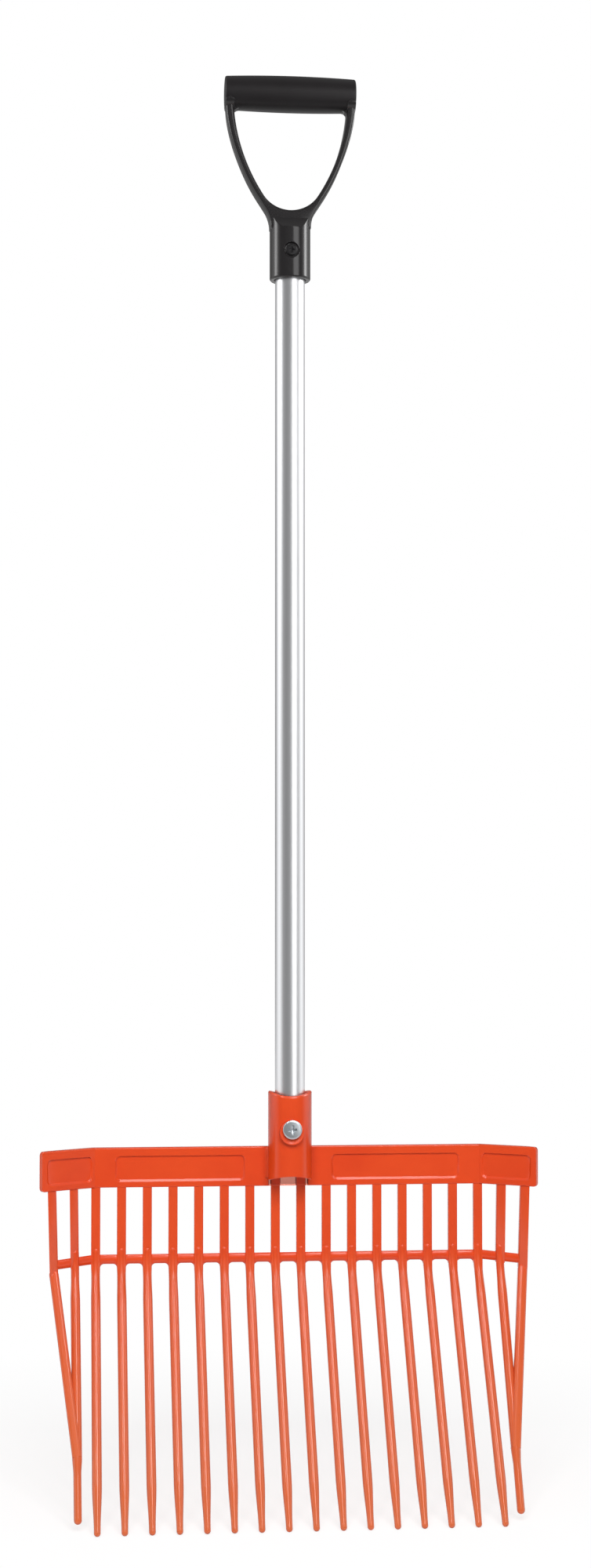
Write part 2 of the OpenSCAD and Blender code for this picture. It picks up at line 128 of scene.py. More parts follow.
class HeadSizes(bpy.types.PropertyGroup):
    """Sizes of the head's board, bars, rail and tines"""
    board_t: length("Board thickness", "Thickness of the board", 7)
    board_edge: length("Board edge", "Rounding along the board's edges", 1.1)
    fold_r: length("Fold radius", "Radius of the board's folds at its middle plane", 4)
    fold_offset: length("Fold offset", "Distance from the last tine out to the fold", 1.8)
    wing_length: length("Wing length", "Length of a wing from the fold", 53.8)
    wing_end_t: length("Wing end", "Thickness of a wing at its end", 4.2)
    wing_thin: length("Wing end run", "Length over which a wing thins to its end", 12)
    wing_corner_r: length("Wing corner", "Radius of the wing's end corners", 2.5)
    wing_angle: angle("Wing angle", "Angle by which each end of the board folds forward", 33)
    panel_depth: length("Panel depth", "Depth of the board's shallow panels", 1.7)
    panel_draft: length("Panel draft", "Width of the panels' sloped lower and upright sides", 1.8)
    panel_r: length("Panel corner", "Radius of the panels' corners", 4)
    panel_top: length("Panel top margin", "Board above the panels", 7.1)
    panel_bottom: length("Panel bottom margin", "Board below the panels", 5.7)
    panel_inner: length("Panel start", "Distance from the shaft's axis to the long panels", 37.7)
    panel_outer: length("Panel end margin", "Board between a long panel and the fold", 18.9)
    wing_panel_start: length("Wing panel start", "Board between the fold and a wing's panel", 4)
    wing_panel_end: length("Wing panel margin", "Board between a wing's panel and its end", 5.7)
    bar_w: length("Bar width", "Width of the flat bars under the board", 7.7)
    bar_t: length("Bar thickness", "Thickness of the flat bars", 5.5)
    bar_edge: length("Bar edge", "Rounding along the bars' edges", 0.9)
    wing_bar_w: length("Wing bar width", "Width of the flat bars under a wing", 7.1)
    rail_h: length("Rail height", "Height of the cross rail", 7.9)
    rail_t: length("Rail thickness", "Thickness of the cross rail", 5.2)
    rail_corner_r: length("Rail corner", "Fillet under the rail beside each bar", 3.3)
    rail_step: length("Rail step", "Height of the bend's start above the rail", 2)
    wing_rail_drop: length("Wing rail drop", "Drop of the rail at each bar of a wing", 0.7)
    rod_d: length("Tine diameter", "Diameter of a tine", 8.1)
    neck_d: length("Tine neck", "Diameter of a tine through its bend", 7.4)
    tip_d: length("Tip diameter", "Diameter of a tine at its tip", 5.4)
    wing_neck_d: length("Wing tine neck", "Diameter of a wing tine through its bend", 7.0)
    wing_tip_d: length("Wing tip diameter", "Diameter of a wing tine at its blunt tip", 6.5)
    bend_r: length("Bend radius", "Radius of the bend below the rail", 40)
    ridge: length("Ridge rise", "Height of the round ridge above the bend", 1)
    swell: length("Swell", "Length over which a tine swells below its bend", 20)
    taper: length("Taper", "Length over which a tine tapers to its tip", 40)
    reach: length("Tine reach", "Length of a tine from its bend to its tip", 217.5)
    wing_reach: length("Wing tine reach", "Length of a wing tine from its bend to its tip", 202)
    tine_angle: angle("Tine angle", "Angle of a tine forward of the shaft's line", 34.5)
    wing_tine_angle: angle("Wing tine angle", "Angle of a wing tine forward of the shaft's line", 30)
    wing_toe: angle("Wing toe", "Angle by which a wing tine leans inward", 0.7)
    brace_d: length("Brace width", "Width of the brace on a wing", 7.9)
    brace_tail: length("Brace bar tail", "Length of the outer bar below the rail", 5.5)
    wing_tail: length("Wing bar tail", "Length of the inner wing bar below the rail", 2)
    wing_step: length("Wing tine step", "Lean of the inner wing bar towards the middle at its foot", 1.0)
    brace_step: length("Brace step", "Lean of the outer wing bar towards the middle at its foot", 1.9)
    brace_edge: length("Brace edge", "Rounding along the brace's edges", 2.4)
    merge_length: length("Merge", "Length over which the wing tine thins below the brace", 14)
    web_t: length("Web thickness", "Thickness of the web between brace and wing tine", 2.6)


class SocketSizes(bpy.types.PropertyGroup):
    """Sizes of the head's socket and the pieces bolted through it"""
    mouth_arc_r: length("Mouth arc", "Radius of the arc that hollows both ends of the socket", 44)
    mouth_d: length("Mouth diameter", "Diameter of the lead-in at the mouth", 29.3)
    mouth_depth: length("Mouth depth", "Depth of the lead-in", 8)
    bore_gap: length("Bore gap", "Clearance around the tube", 0.3)
    rim_bevel_h: length("Rim bevel height", "Height of the bevel round the mouth's rim", 1.7)
    rim_bevel_w: length("Rim bevel width", "Width of the bevel round the mouth's rim", 0.9)
    rim_edge: length("Rim edge", "Rounding of the mouth's rim", 0.6)
    flank_r: length("Flank fillet", "Fillet between the socket's flanks and the board", 4)
    pocket_depth: length("Pocket depth", "Depth of the pocket under the socket", 4)
    pocket_w: length("Pocket width", "Width of the pocket under the socket", 33.6)
    boss_d: length("Boss diameter", "Diameter of the round bosses at the bolt", 20.6)
    boss_drop: length("Boss drop", "Distance of the front boss's centre below the bolt", 2.8)
    boss_lip: length("Boss lip", "Rise of the front boss's lower lip", 1.8)
    boss_edge: length("Boss edge", "Rounding of the bosses' edges", 0.8)
    bolt_head_h: length("Bolt head height", "Height of the bolt's head", 5)
    bolt_d: length("Bolt shank", "Shank diameter of the bolt", 8)
    bolt_edge: length("Bolt head chamfer", "Chamfer around the bolt's head", 1.2)
    recess_span: length("Recess span", "Span of the bolt's cross recess", 7.5)
    recess_w: length("Recess width", "Width of the arms of the bolt's recess", 2)
    recess_depth: length("Recess depth", "Depth of the bolt's recess", 3)
    nut_hex_h: length("Nut height", "Height of the nut's hexagon", 5.5)
    nut_collar_d: length("Nut collar", "Diameter of the nut's locking collar", 11.5)


class GripSizes(bpy.types.PropertyGroup):
    """Sizes of the tube and of the D grip with its screw"""
    tube_wall: length("Tube wall", "Wall of the tube", 1.5)
    bar_d: length("Hand bar diameter", "Diameter of the hand bar at its middle", 31)
    bar_end_d: length("Hand bar end", "Diameter of the hand bar at its ends", 28.4)
    bar_edge: length("Hand bar edge", "Rounding of the hand bar's ends", 1.5)
    bar_rise: length("Hand bar rise", "Height of the hand bar's axis above the tube's end", 116.7)
    socket_d: length("Socket diameter", "Outside diameter of the grip's socket", 35)
    rim_chamfer: length("Rim chamfer", "Chamfer of the socket's rim", 1.2)
    window_rise: length("Window rise", "Height of the window's lowest point above the tube's end", 14.4)
    window_r: length("Window radius", "Radius of the window's lower end", 28)
    arm_r: length("Arm radius", "Radius of the arms' curve", 160)
    arm_lean: angle("Arm lean", "Angle from level at which the arms leave the window's lower end", 57)
    arm_t: length("Arm thickness", "Thickness of an arm", 5.4)
    arm_depth: length("Arm depth", "Depth of the arms from front to back", 18)
    arm_edge: length("Arm edge", "Rounding along the arms' edges", 2.5)
    arm_swell: length("Arm swell", "Added thickness of an arm at the hand bar", 1.4)
    arm_swell_run: length("Arm swell run", "Length of arm over which it thickens", 50)
    flare_r: length("Flare radius", "Radius of the flare from the socket into the arms", 30)
    cup_proud: length("Cup height", "Height of the arms' seats above the hand bar", 1.4)
    cup_w: length("Cup width", "Width of the arms' seats", 7.4)
    cup_reach: angle("Cup reach", "Angle round the hand bar from its lowest line to the seats' ends", 64)
    cup_edge: length("Cup edge", "Rounding along the seats' edges", 0.5)
    corner_r: length("Inner corner", "Fillet between the arms and the hand bar", 4)
    corner_w: length("Corner width", "Width of the inner corners' fillet from front to back", 10)
    shoulder_drop: length("Shoulder drop", "Distance of the shoulders' ledge below the tube's end", 2.2)
    shoulder_d: length("Shoulder depth", "Depth over the shoulders just above their ledge", 31.6)
    shoulder_h: length("Shoulder height", "Height of the sloped shoulders", 10)
    screw_head_h: length("Screw head height", "Height of the screw's head", 2.2)
    screw_head_edge: length("Screw head edge", "Chamfer around the screw's head", 0.8)
    screw_d: length("Screw shank", "Shank diameter of the screw", 4.2)
    screw_recess_d: length("Screw recess", "Diameter of the round recess around the screw", 12.7)
    screw_slot: length("Screw slot span", "Span of the screw's cross recess", 5)
    screw_slot_w: length("Screw slot width", "Width of the arms of the screw's recess", 1.2)
    screw_slot_depth: length("Screw slot depth", "Depth of the screw's recess", 1.4)


class Finishes(bpy.types.PropertyGroup):
    """Colours of the fork and its stage"""
    head: colour("Head", "Orange polypropylene of the head", "#E64A17")
    head_shade: colour("Head clouds", "Deeper flow clouds in the orange", "#DF4313")
    # Painted backlight: a paler orange that stands in for light coming through the thin web under the socket
    # and lifts the shade there. The material also lets some light through for real.
    head_painted_backlight: colour("Head web", "Paler orange where the moulding is thin", "#D98E7D")
    # Painted tip light: this lighter, yellower tone stands in for highlights and light coming through the
    # slim tines.
    head_painted_tip_light: colour("Head tips", "Lighter, yellower orange of the slim tines at their tips", "#D9693A")
    grip: colour("Grip", "Black plastic of the grip", "#181617")
    grip_worn: colour("Grip clouds", "Greyer clouds in the black", "#1D1B1C")
    bar: colour("Hand bar", "Matt black plastic of the hand bar", "#1B191A")
    bar_worn: colour("Hand bar clouds", "Greyer clouds in the hand bar", "#201E1F")
    tube: colour("Tube", "Drawn aluminium", "#E1E2E4")
    zinc: colour("Zinc", "Zinc plate on the bolt, washer and nut", "#DCE0E3")
    zinc_dull: colour("Dull zinc", "Dull patches in the zinc plate", "#B2B9BF")
    screw: colour("Screw", "Blackened steel of the grip's screw", "#302F30")
    floor: colour("Floor", "Pale floor", "#F8F8F8")


# Forms

def rounded(half_w, half_d, r, steps=4):
    """Rounded rectangles, one for each row of sizes: four quarter circles whose centres lie r inside the
    corners."""
    half_w, half_d, r = (v[:, None, None] for v in np.broadcast_arrays(*np.atleast_1d(half_w, half_d, r)))
    turn = (np.arange(4)[:, None] + np.linspace(0, 1, steps + 1)) * np.pi / 2
    side = np.array([[1, 1], [-1, 1], [-1, -1], [1, -1]])
    across = side[:, :1] * (half_w - r) + r * np.cos(turn)
    deep = side[:, 1:] * (half_d - r) + r * np.sin(turn)
    return np.stack([across, deep], axis=-1).reshape(len(across), -1, 2)


def sweep(path, across, deep, sections):
    """Rings of a sweep: each section's two coordinates are laid out along two directions at its point of
    the path."""
    across, deep = (np.broadcast_to(v, path.shape)[:, None] for v in (across, deep))
    return path[:, None] + sections[..., :1] * across + sections[..., 1:] * deep


def eased(corners, easing, steps=6):
    """A polyline whose inner corners are rounded: each becomes a quadratic curve that starts and ends one
    easing away from it."""
    corners = np.asarray(corners, float)
    middle = corners[1:-1]
    before = corners[:-2] - middle
    after = corners[2:] - middle
    easing = np.broadcast_to(easing, len(middle))[:, None]
    start = middle + before / np.linalg.norm(before, axis=1, keepdims=True) * easing
    end = middle + after / np.linalg.norm(after, axis=1, keepdims=True) * easing
    t = np.linspace(0, 1, steps)[None, :, None]
    curves = (1 - t) ** 2 * start[:, None] + 2 * t * (1 - t) * middle[:, None] + t ** 2 * end[:, None]
    return np.concatenate([corners[:1], curves.reshape(-1, 2), corners[-1:]])


def turned(profile, axis, centre=(0, 0, 0), sides=72):
    """Rings of a turned form: each row of the profile gives a radius and a place along the axis, which is
    0 for X, 1 for Y or 2 for Z."""
    turn = np.linspace(0, 2 * np.pi, sides, endpoint=False)
    radius, along = np.asarray(profile, float).T[:, :, None]
    flat = [radius * np.sin(turn), -radius * np.cos(turn)]
    flat.insert(axis, along + 0 * turn)
    return np.stack(flat, axis=-1) + np.asarray(centre, float)


def skin(rings):
    """A closed shell over a row of rings: quads between neighbours and a fan to the middle of each end."""
    rows, count = rings.shape[:2]
    index = np.arange(rows * count).reshape(rows, count)
    following = np.roll(index, -1, axis=1)
    quads = np.stack([index[:-1], following[:-1], following[1:], index[1:]], axis=-1).reshape(-1, 4)
    first = np.stack([following[0], index[0], np.full(count, rows * count)], axis=-1)
    last = np.stack([index[-1], following[-1], np.full(count, rows * count + 1)], axis=-1)
    points = np.concatenate([rings.reshape(-1, 3), rings[[0, -1]].mean(axis=1)])
    return points, [quads, first, last]


def band(rings):
    """A closed shell over rings that run round to the first one again."""
    rows, count = rings.shape[:2]
    index = np.arange(rows * count).reshape(rows, count)
    beside = np.roll(index, -1, axis=1)
    below = np.roll(index, -1, axis=0)
    quads = np.stack([index, beside, np.roll(beside, -1, axis=0), below], axis=-1).reshape(-1, 4)
    return rings.reshape(-1, 3), [quads]


def mirrored(shell):
    """The same shell on the other side of X = 0."""
    points, groups = shell
    return points * [-1, 1, 1], groups


def smooth_step(value, low, high):
    """Rises from 0 at low to 1 at high along a smooth S curve."""
    t = np.clip((value - low) / (high - low), 0, 1)
    return t * t * (3 - 2 * t)


def piece(node_name, shells, materials, sharp=40.0, layer=None):
    """One object from closed shells. It rides on the root body and stands for a CAD node. A second material
    goes on the first shell. A layer is a name with one value for each point, which the material reads."""
    starts = np.cumsum([0] + [len(points) for points, _ in shells])
    points = np.concatenate([points for points, _ in shells])
    faces = [row for (_, groups), start in zip(shells, starts) for group in groups
             for row in (group + start).tolist()]
    mesh = bpy.data.meshes.new(node_name + "_form")
    mesh.from_pydata(points.tolist(), [], faces)
    for material in materials:
        mesh.materials.append(material)
    if len(materials) > 1:
        in_first = np.arange(len(faces)) < sum(len(group) for group in shells[0][1])
        mesh.polygons.foreach_set("material_index", in_first.astype(np.int32))
    if layer:
        values = mesh.attributes.new(layer[0], "FLOAT", "POINT")
        values.data.foreach_set("value", layer[1].astype(np.float32))
    form = bmesh.new()
    form.from_mesh(mesh)
    bmesh.ops.remove_doubles(form, verts=form.verts, dist=MM / 1000)
    bmesh.ops.recalc_face_normals(form, faces=form.faces)
    form.to_mesh(mesh)
    form.free()
    mesh.shade_smooth()
    mesh.set_sharp_from_angle(angle=math.radians(sharp))
    made = bpy.data.objects.new(node_name + "_form", mesh)
    bpy.context.scene.collection.objects.link(made)
    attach(made, "root")
    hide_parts(node_name)
    return made


# Materials

def node(tree, kind, inputs=(), **settings):
    """Adds a shader node with its settings. An input that is given a socket, or a node for its first output,
    is linked. Any other value is set."""
    made = tree.nodes.new("ShaderNode" + kind)
    for name, value in settings.items():
        setattr(made, name, value)
    for key, value in dict(inputs).items():
        if isinstance(value, bpy.types.Node):
            value = value.outputs[0]
        if isinstance(value, bpy.types.NodeSocket):
            tree.links.new(value, made.inputs[key])
        else:
            made.inputs[key].default_value = value
    return made


def start_material(name):
    """The material of that name with its emptied node tree."""
    material = bpy.data.materials.get(name) or bpy.data.materials.new(name)
    material.use_nodes = True
    material.node_tree.nodes.clear()
    return material, material.node_tree


def finish_material(tree, shader):
    """Links a shader node to a new material output."""
    node(tree, "OutputMaterial", {"Surface": shader})


def moulded_polypropylene(finishes):
    """Injection moulded polypropylene: a satin orange skin with faint flow clouds, a fine moulded grain that
    softens its highlights, and where the wall is thin a paler painted backlight, with some light let through
    for real. The slim tines, where light comes through, are glossier, and a lighter, yellower tone painted
    towards their tips stands in for their highlights and that light."""
    material, tree = start_material("moulded_polypropylene")
    # Flow clouds are about 45 mm across. The grain of 0.3 mm is drawn 1.2 mm wide, so that it shows.
    cloud = 45 * MM
    grain = 1.2 * MM
    place = node(tree, "TexCoord").outputs["Object"]
    clouds = node(tree, "TexNoise", {"Vector": place, "Scale": 1 / cloud, "Detail": 3.0})
    skin_grain = node(tree, "TexNoise", {"Vector": place, "Scale": 1 / grain, "Detail": 2.0})
    thin = node(tree, "Attribute", attribute_name="thin").outputs["Fac"]
    slim = node(tree, "Attribute", attribute_name="slim").outputs["Fac"]
    share = node(tree, "MapRange", {"Value": clouds, "From Min": 0.35, "From Max": 0.75})
    tone = node(tree, "Mix", {0: share, 6: finishes.head, 7: finishes.head_shade}, data_type="RGBA")
    # Painted backlight: a paler tone where the web is thin, standing in for light coming through it.
    painted_backlight = node(tree, "Mix", {0: thin, 6: tone.outputs[2], 7: finishes.head_painted_backlight}, data_type="RGBA")
    # Painted tip light towards the tines' tips, standing in for their highlights and the light through them.
    painted_tip_light = node(tree, "Mix", {0: slim, 6: painted_backlight.outputs[2], 7: finishes.head_painted_tip_light}, data_type="RGBA")
    through = node(tree, "MapRange", {"Value": thin, "To Min": 0.0, "To Max": 0.8})
    satin = node(tree, "MapRange", {"Value": clouds, "To Min": 0.2, "To Max": 0.26})
    polish = node(tree, "MapRange", {"Value": slim, "From Min": SLIM_AT_RAIL, "From Max": SLIM_AT_BEND,
                                     "To Min": 1.0, "To Max": 0.6})
    gloss = node(tree, "Math", {0: satin, 1: polish}, operation="MULTIPLY")
    bump = node(tree, "Bump", {"Height": skin_grain, "Strength": 0.05, "Distance": 0.1 * MM})
    shader = node(tree, "BsdfPrincipled", {
        "Base Color": painted_tip_light.outputs[2], "Roughness": gloss, "Normal": bump, "Transmission Weight": through,
        "IOR": 1.49, "Specular IOR Level": 0.55})
    finish_material(tree, shader)
    return material


def polished_black_plastic(finishes):
    """Black plastic from a polished mould: a dark skin with faint grey clouds that shows bright bands and
    thin bright lines along its edges."""
    material, tree = start_material("polished_black_plastic")
    # Clouds are about 20 mm across.
    cloud = 20 * MM
    place = node(tree, "TexCoord").outputs["Object"]
    clouds = node(tree, "TexNoise", {"Vector": place, "Scale": 1 / cloud, "Detail": 3.0})
    tone = node(tree, "Mix", {0: clouds, 6: finishes.grip, 7: finishes.grip_worn}, data_type="RGBA")
    gloss = node(tree, "MapRange", {"Value": clouds, "To Min": 0.17, "To Max": 0.23})
    shader = node(tree, "BsdfPrincipled", {
        "Base Color": tone.outputs[2], "Roughness": gloss, "IOR": 1.5})
    finish_material(tree, shader)
    return material


def matt_black_plastic(finishes):
    """Matt black plastic of the hand bar: a greyer black with a fine grain that spreads its faint
    highlight."""
    material, tree = start_material("matt_black_plastic")
    # Clouds are about 20 mm across. The grain of 0.3 mm is drawn 0.9 mm wide, so that it shows.
    cloud = 20 * MM
    grain = 0.9 * MM
    place = node(tree, "TexCoord").outputs["Object"]
    clouds = node(tree, "TexNoise", {"Vector": place, "Scale": 1 / cloud, "Detail": 3.0})
    skin_grain = node(tree, "TexNoise", {"Vector": place, "Scale": 1 / grain, "Detail": 2.0})
    tone = node(tree, "Mix", {0: clouds, 6: finishes.bar, 7: finishes.bar_worn}, data_type="RGBA")
    gloss = node(tree, "MapRange", {"Value": clouds, "To Min": 0.34, "To Max": 0.4})
    bump = node(tree, "Bump", {"Height": skin_grain, "Strength": 0.5, "Distance": 0.02 * MM})
    shader = node(tree, "BsdfPrincipled", {
        "Base Color": tone.outputs[2], "Roughness": gloss, "Normal": bump, "IOR": 1.5,
        "Specular IOR Level": 0.2})
    finish_material(tree, shader)
    return material


def drawn_aluminium(finishes):
    """Drawn aluminium tube: bright metal with fine lengthwise die lines that draw its reflections out into
    upright bands."""
    material, tree = start_material("drawn_aluminium")
    # Die lines of 0.1 mm are drawn 0.7 mm wide and about 120 mm long, so that they show.
    line_w = 0.7 * MM
    line_length = 120 * MM
    place = node(tree, "TexCoord").outputs["Object"]
    drawn = node(tree, "Mapping", {"Vector": place, "Scale": (1 / line_w, 1 / line_w, 1 / line_length)})
    lines = node(tree, "TexNoise", {"Vector": drawn, "Scale": 1.0, "Detail": 2.0})
    gloss = node(tree, "MapRange", {"Value": lines, "To Min": 0.33, "To Max": 0.4})
    bump = node(tree, "Bump", {"Height": lines, "Strength": 0.06, "Distance": 0.02 * MM})
    shader = node(tree, "BsdfPrincipled", {
        "Base Color": finishes.tube, "Metallic": 1.0, "Roughness": gloss, "Normal": bump})
    finish_material(tree, shader)
    return material


def zinc_plated_steel(finishes):
    """Zinc plated steel: cool grey metal with a cloudy dull bloom over a soft shine."""
    material, tree = start_material("zinc_plated_steel")
    # The bloom's patches are about 2.5 mm across.
    patch = 2.5 * MM
    place = node(tree, "TexCoord").outputs["Object"]
    bloom = node(tree, "TexNoise", {"Vector": place, "Scale": 1 / patch, "Detail": 4.0})
    tone = node(tree, "Mix", {0: bloom, 6: finishes.zinc, 7: finishes.zinc_dull}, data_type="RGBA")
    gloss = node(tree, "MapRange", {"Value": bloom, "To Min": 0.22, "To Max": 0.42})
    bump = node(tree, "Bump", {"Height": bloom, "Strength": 0.1, "Distance": 0.05 * MM})
    shader = node(tree, "BsdfPrincipled", {
        "Base Color": tone.outputs[2], "Metallic": 1.0, "Roughness": gloss, "Normal": bump})
    finish_material(tree, shader)
    return material


def blackened_steel(finishes):
    """Blackened steel screw: dark metal with a waxy uneven sheen."""
    material, tree = start_material("blackened_steel")
    # The wax lies in patches about 1.5 mm across.
    patch = 1.5 * MM
    place = node(tree, "TexCoord").outputs["Object"]
    wax = node(tree, "TexNoise", {"Vector": place, "Scale": 1 / patch, "Detail": 3.0})
    gloss = node(tree, "MapRange", {"Value": wax, "To Min": 0.3, "To Max": 0.5})
    bump = node(tree, "Bump", {"Height": wax, "Strength": 0.1, "Distance": 0.04 * MM})
    shader = node(tree, "BsdfPrincipled", {
        "Base Color": finishes.screw, "Metallic": 0.8, "Roughness": gloss, "Normal": bump})
    finish_material(tree, shader)
    return material


# The head

def bent(s, bend_r, bend_angle):
    """Path of a tine: straight down, round an arc towards the front, then straight on. s is the length from
    the bend's start, and the path's points come with the direction square to it, towards the back."""
    turn = np.clip(s / bend_r, 0, bend_angle)
    straight = s - bend_r * turn
    path = np.stack([0 * s, -bend_r * (1 - np.cos(turn)) - straight * np.sin(turn),
                     -bend_r * np.sin(turn) - straight * np.cos(turn)], axis=-1)
    deep = np.stack([0 * s, np.cos(turn), -np.sin(turn)], axis=-1)
    return path, deep


def tine_rod(sizes, bend_angle, marks, radii):
    """A round tine: a half sphere, then a round whose radius eases from one mark along the path to the next,
    and a half sphere at the tip."""
    run = np.interp(np.linspace(0, len(marks) - 1, 24 * len(marks)), np.arange(len(marks)), marks)
    span = np.clip(np.searchsorted(marks, run, side="right") - 1, 0, len(marks) - 2)
    marks, radii = np.asarray(marks), np.asarray(radii)
    ease = smooth_step(run, marks[span], marks[span + 1])
    s = np.concatenate([marks[0] - radii[0] * np.cos(CAP), run, marks[-1] + radii[-1] * np.cos(CAP[::-1])])
    radius = np.concatenate([radii[0] * np.sin(CAP), radii[span] + (radii[span + 1] - radii[span]) * ease,
                             radii[-1] * np.sin(CAP[::-1])])
    path, deep = bent(s, sizes.bend_r, bend_angle)
    turn = np.linspace(0, 2 * np.pi, 28, endpoint=False)
    circle = np.stack([np.cos(turn), np.sin(turn)], axis=-1)
    return sweep(path, (1, 0, 0), deep, radius[:, None, None] * circle)


def middle_rod(sizes):
    """A middle tine: neck through the bend, swell to its full diameter, and taper to its tip."""
    arc = sizes.bend_r * sizes.tine_angle
    marks = [-sizes.ridge, arc, arc + sizes.swell, arc + sizes.reach - sizes.taper, arc + sizes.reach]
    return tine_rod(sizes, sizes.tine_angle, marks,
                    [sizes.neck_d / 2, sizes.neck_d / 2, sizes.rod_d / 2, sizes.rod_d / 2, sizes.tip_d / 2])


def wing_rod(sizes, merge):
    """A wing tine: neck, swell, and below the merge with the brace a thinner run to its blunt tip."""
    arc = sizes.bend_r * sizes.wing_tine_angle
    marks = [-sizes.ridge, arc, arc + sizes.swell, merge, merge + sizes.merge_length, arc + sizes.wing_reach]
    return tine_rod(sizes, sizes.wing_tine_angle, marks,
                    [sizes.wing_neck_d / 2, sizes.wing_neck_d / 2, sizes.rod_d / 2, sizes.rod_d / 2,
                     sizes.wing_tip_d / 2, sizes.wing_tip_d / 2])


def plane_y(sizes):
    """Middle plane of the board and of the bars under it."""
    return BOARD_HIGH.y - sizes.board_t / 2


def bend_z(sizes):
    """Height at which the tines start to bend."""
    return RAIL_TOP + sizes.rail_step


def tine_bar(sizes):
    """A flat bar that follows the tine's path: a rounded rectangle that turns into a round just inside the
    tine below the rail."""
    arc = sizes.bend_r * sizes.tine_angle
    top = bend_z(sizes) - BOARD_LOW.z - 2 * sizes.board_edge
    s = np.concatenate([[top, 0], np.linspace(6 * MM, arc, 12)])
    merge = smooth_step(s, sizes.rail_step + sizes.rail_h, arc)
    neck = sizes.neck_d / 2 - 0.1 * MM
    half_w = sizes.bar_w / 2 + (neck - sizes.bar_w / 2) * merge
    half_d = sizes.bar_t / 2 + (neck - sizes.bar_t / 2) * merge
    edge = sizes.bar_edge + (neck - sizes.bar_edge) * merge
    path, deep = bent(s, sizes.bend_r, sizes.tine_angle)
    return sweep(path, (1, 0, 0), deep, rounded(half_w, half_d, edge))


def slimness(sizes, shells):
    """Share of the painted tip light at each point, by its height: little at the rail, more at the bend's
    end, and all of it at the tips."""
    bend_end = bend_z(sizes) - sizes.bend_r * math.sin(sizes.tine_angle)
    z = np.concatenate([points for points, _ in shells])[:, 2]
    return np.interp(z, [TIP_Z, bend_end, RAIL_TOP], [1.0, SLIM_AT_BEND, SLIM_AT_RAIL])


def fold_x(sizes):
    """Place of the board's fold."""
    return TINE_X[-1] + sizes.fold_offset


def wing_x(sizes, i):
    """Place of a wing's bar, counted in pitches from the last tine."""
    return fold_x(sizes) + (i * PITCH - sizes.fold_offset) * math.cos(sizes.wing_angle)


def wing_y(sizes, x):
    """Middle plane of the wing."""
    return plane_y(sizes) - (x - fold_x(sizes)) * math.tan(sizes.wing_angle)


def wing_bar(sizes, x, bottom, lean):
    """A flat bar under a wing, sheared along with it: rounded rectangles from the board down to its end,
    which lies a little nearer the middle."""
    z = np.array([BOARD_LOW.z + 2 * sizes.board_edge, bottom + sizes.bar_edge, bottom + sizes.bar_edge / 4,
                  bottom])
    inset = np.array([0, 0, sizes.bar_edge / 4, sizes.bar_edge])
    place = x - lean * (BOARD_LOW.z - z) / (BOARD_LOW.z - bottom)
    path = np.stack([place, wing_y(sizes, place), z], axis=-1)
    sections = rounded(sizes.wing_bar_w / 2 - inset, sizes.bar_t / 2 - inset, sizes.bar_edge)
    return sweep(path, (1, -math.tan(sizes.wing_angle), 0), (0, 1, 0), sections)


def brace_rings(sizes, start, along):
    """The brace: a rounded square carried along a straight line, with a round upper end."""
    forward = along / np.linalg.norm(along)
    across = np.cross(forward, (0, 1, 0))
    across /= np.linalg.norm(across)
    half = sizes.brace_d / 2
    share = np.linspace(0, 1, 30)
    path = np.concatenate([start - forward * (half * np.cos(CAP))[:, None], start + along * share[:, None]])
    size = np.concatenate([np.sin(CAP), 1 + 0 * share])
    return sweep(path, across, np.cross(across, forward),
                 rounded(half * size, half * size, sizes.brace_edge * size, 6))


def web_rings(sizes, brace_line, tine_line, forward):
    """The web in the fork of brace and tine: rounded rectangles between the two lines, which thicken over
    the first part of its length."""
    between = (brace_line - tine_line) / 2
    width = np.linalg.norm(between, axis=1, keepdims=True)
    level = between / width.clip(MM / 10)
    level[-1] = level[-2]
    thick = sizes.web_t / 2 * (0.1 + 0.9 * smooth_step(np.linspace(0, 1, len(width)), 0, 0.3))
    half_w = width[:, 0] + MM / 5
    return sweep((brace_line + tine_line) / 2, level, np.cross(level, forward),
                 rounded(half_w, thick, np.minimum(thick, half_w) * 0.6))


def wing_shells(sizes):
    """The right wing's two bars, its tine, the brace that runs into the tine and the web, which fills the
    last third of their fork. The tine is turned inward by its toe angle."""
    rail_bottom = RAIL_TOP - sizes.rail_h
    inner, outer = wing_x(sizes, 1), wing_x(sizes, 2)
    toe = sizes.wing_toe
    lean = np.array([[math.cos(toe), 0, math.sin(toe)], [0, 1, 0], [-math.sin(toe), 0, math.cos(toe)]])
    foot_x = inner - sizes.wing_step
    foot = np.array([foot_x, wing_y(sizes, foot_x), bend_z(sizes)])
    arc = sizes.bend_r * sizes.wing_tine_angle
    merge = arc + MEET_SHARE * sizes.wing_reach
    meet = bent(np.array([merge]), sizes.bend_r, sizes.wing_tine_angle)[0] @ lean.T + foot
    start_x = outer - sizes.brace_step
    start = np.array([start_x, wing_y(sizes, start_x), rail_bottom - sizes.brace_tail])
    along = meet[0] - start
    share = WEB_SHARE + (1 - WEB_SHARE) * np.linspace(0, 1, 16)
    brace_line = start + along * share[:, None]
    tine_s = arc + MEET_SHARE * sizes.wing_reach * share
    tine_line = bent(tine_s, sizes.bend_r, sizes.wing_tine_angle)[0] @ lean.T + foot
    return [skin(wing_bar(sizes, inner, rail_bottom - sizes.wing_tail, sizes.wing_step)),
            skin(wing_bar(sizes, outer, rail_bottom - sizes.brace_tail, sizes.brace_step)),
            skin(wing_rod(sizes, merge) @ lean.T + foot),
            skin(brace_rings(sizes, start, along)),
            skin(web_rings(sizes, brace_line, tine_line, along / np.linalg.norm(along)))]


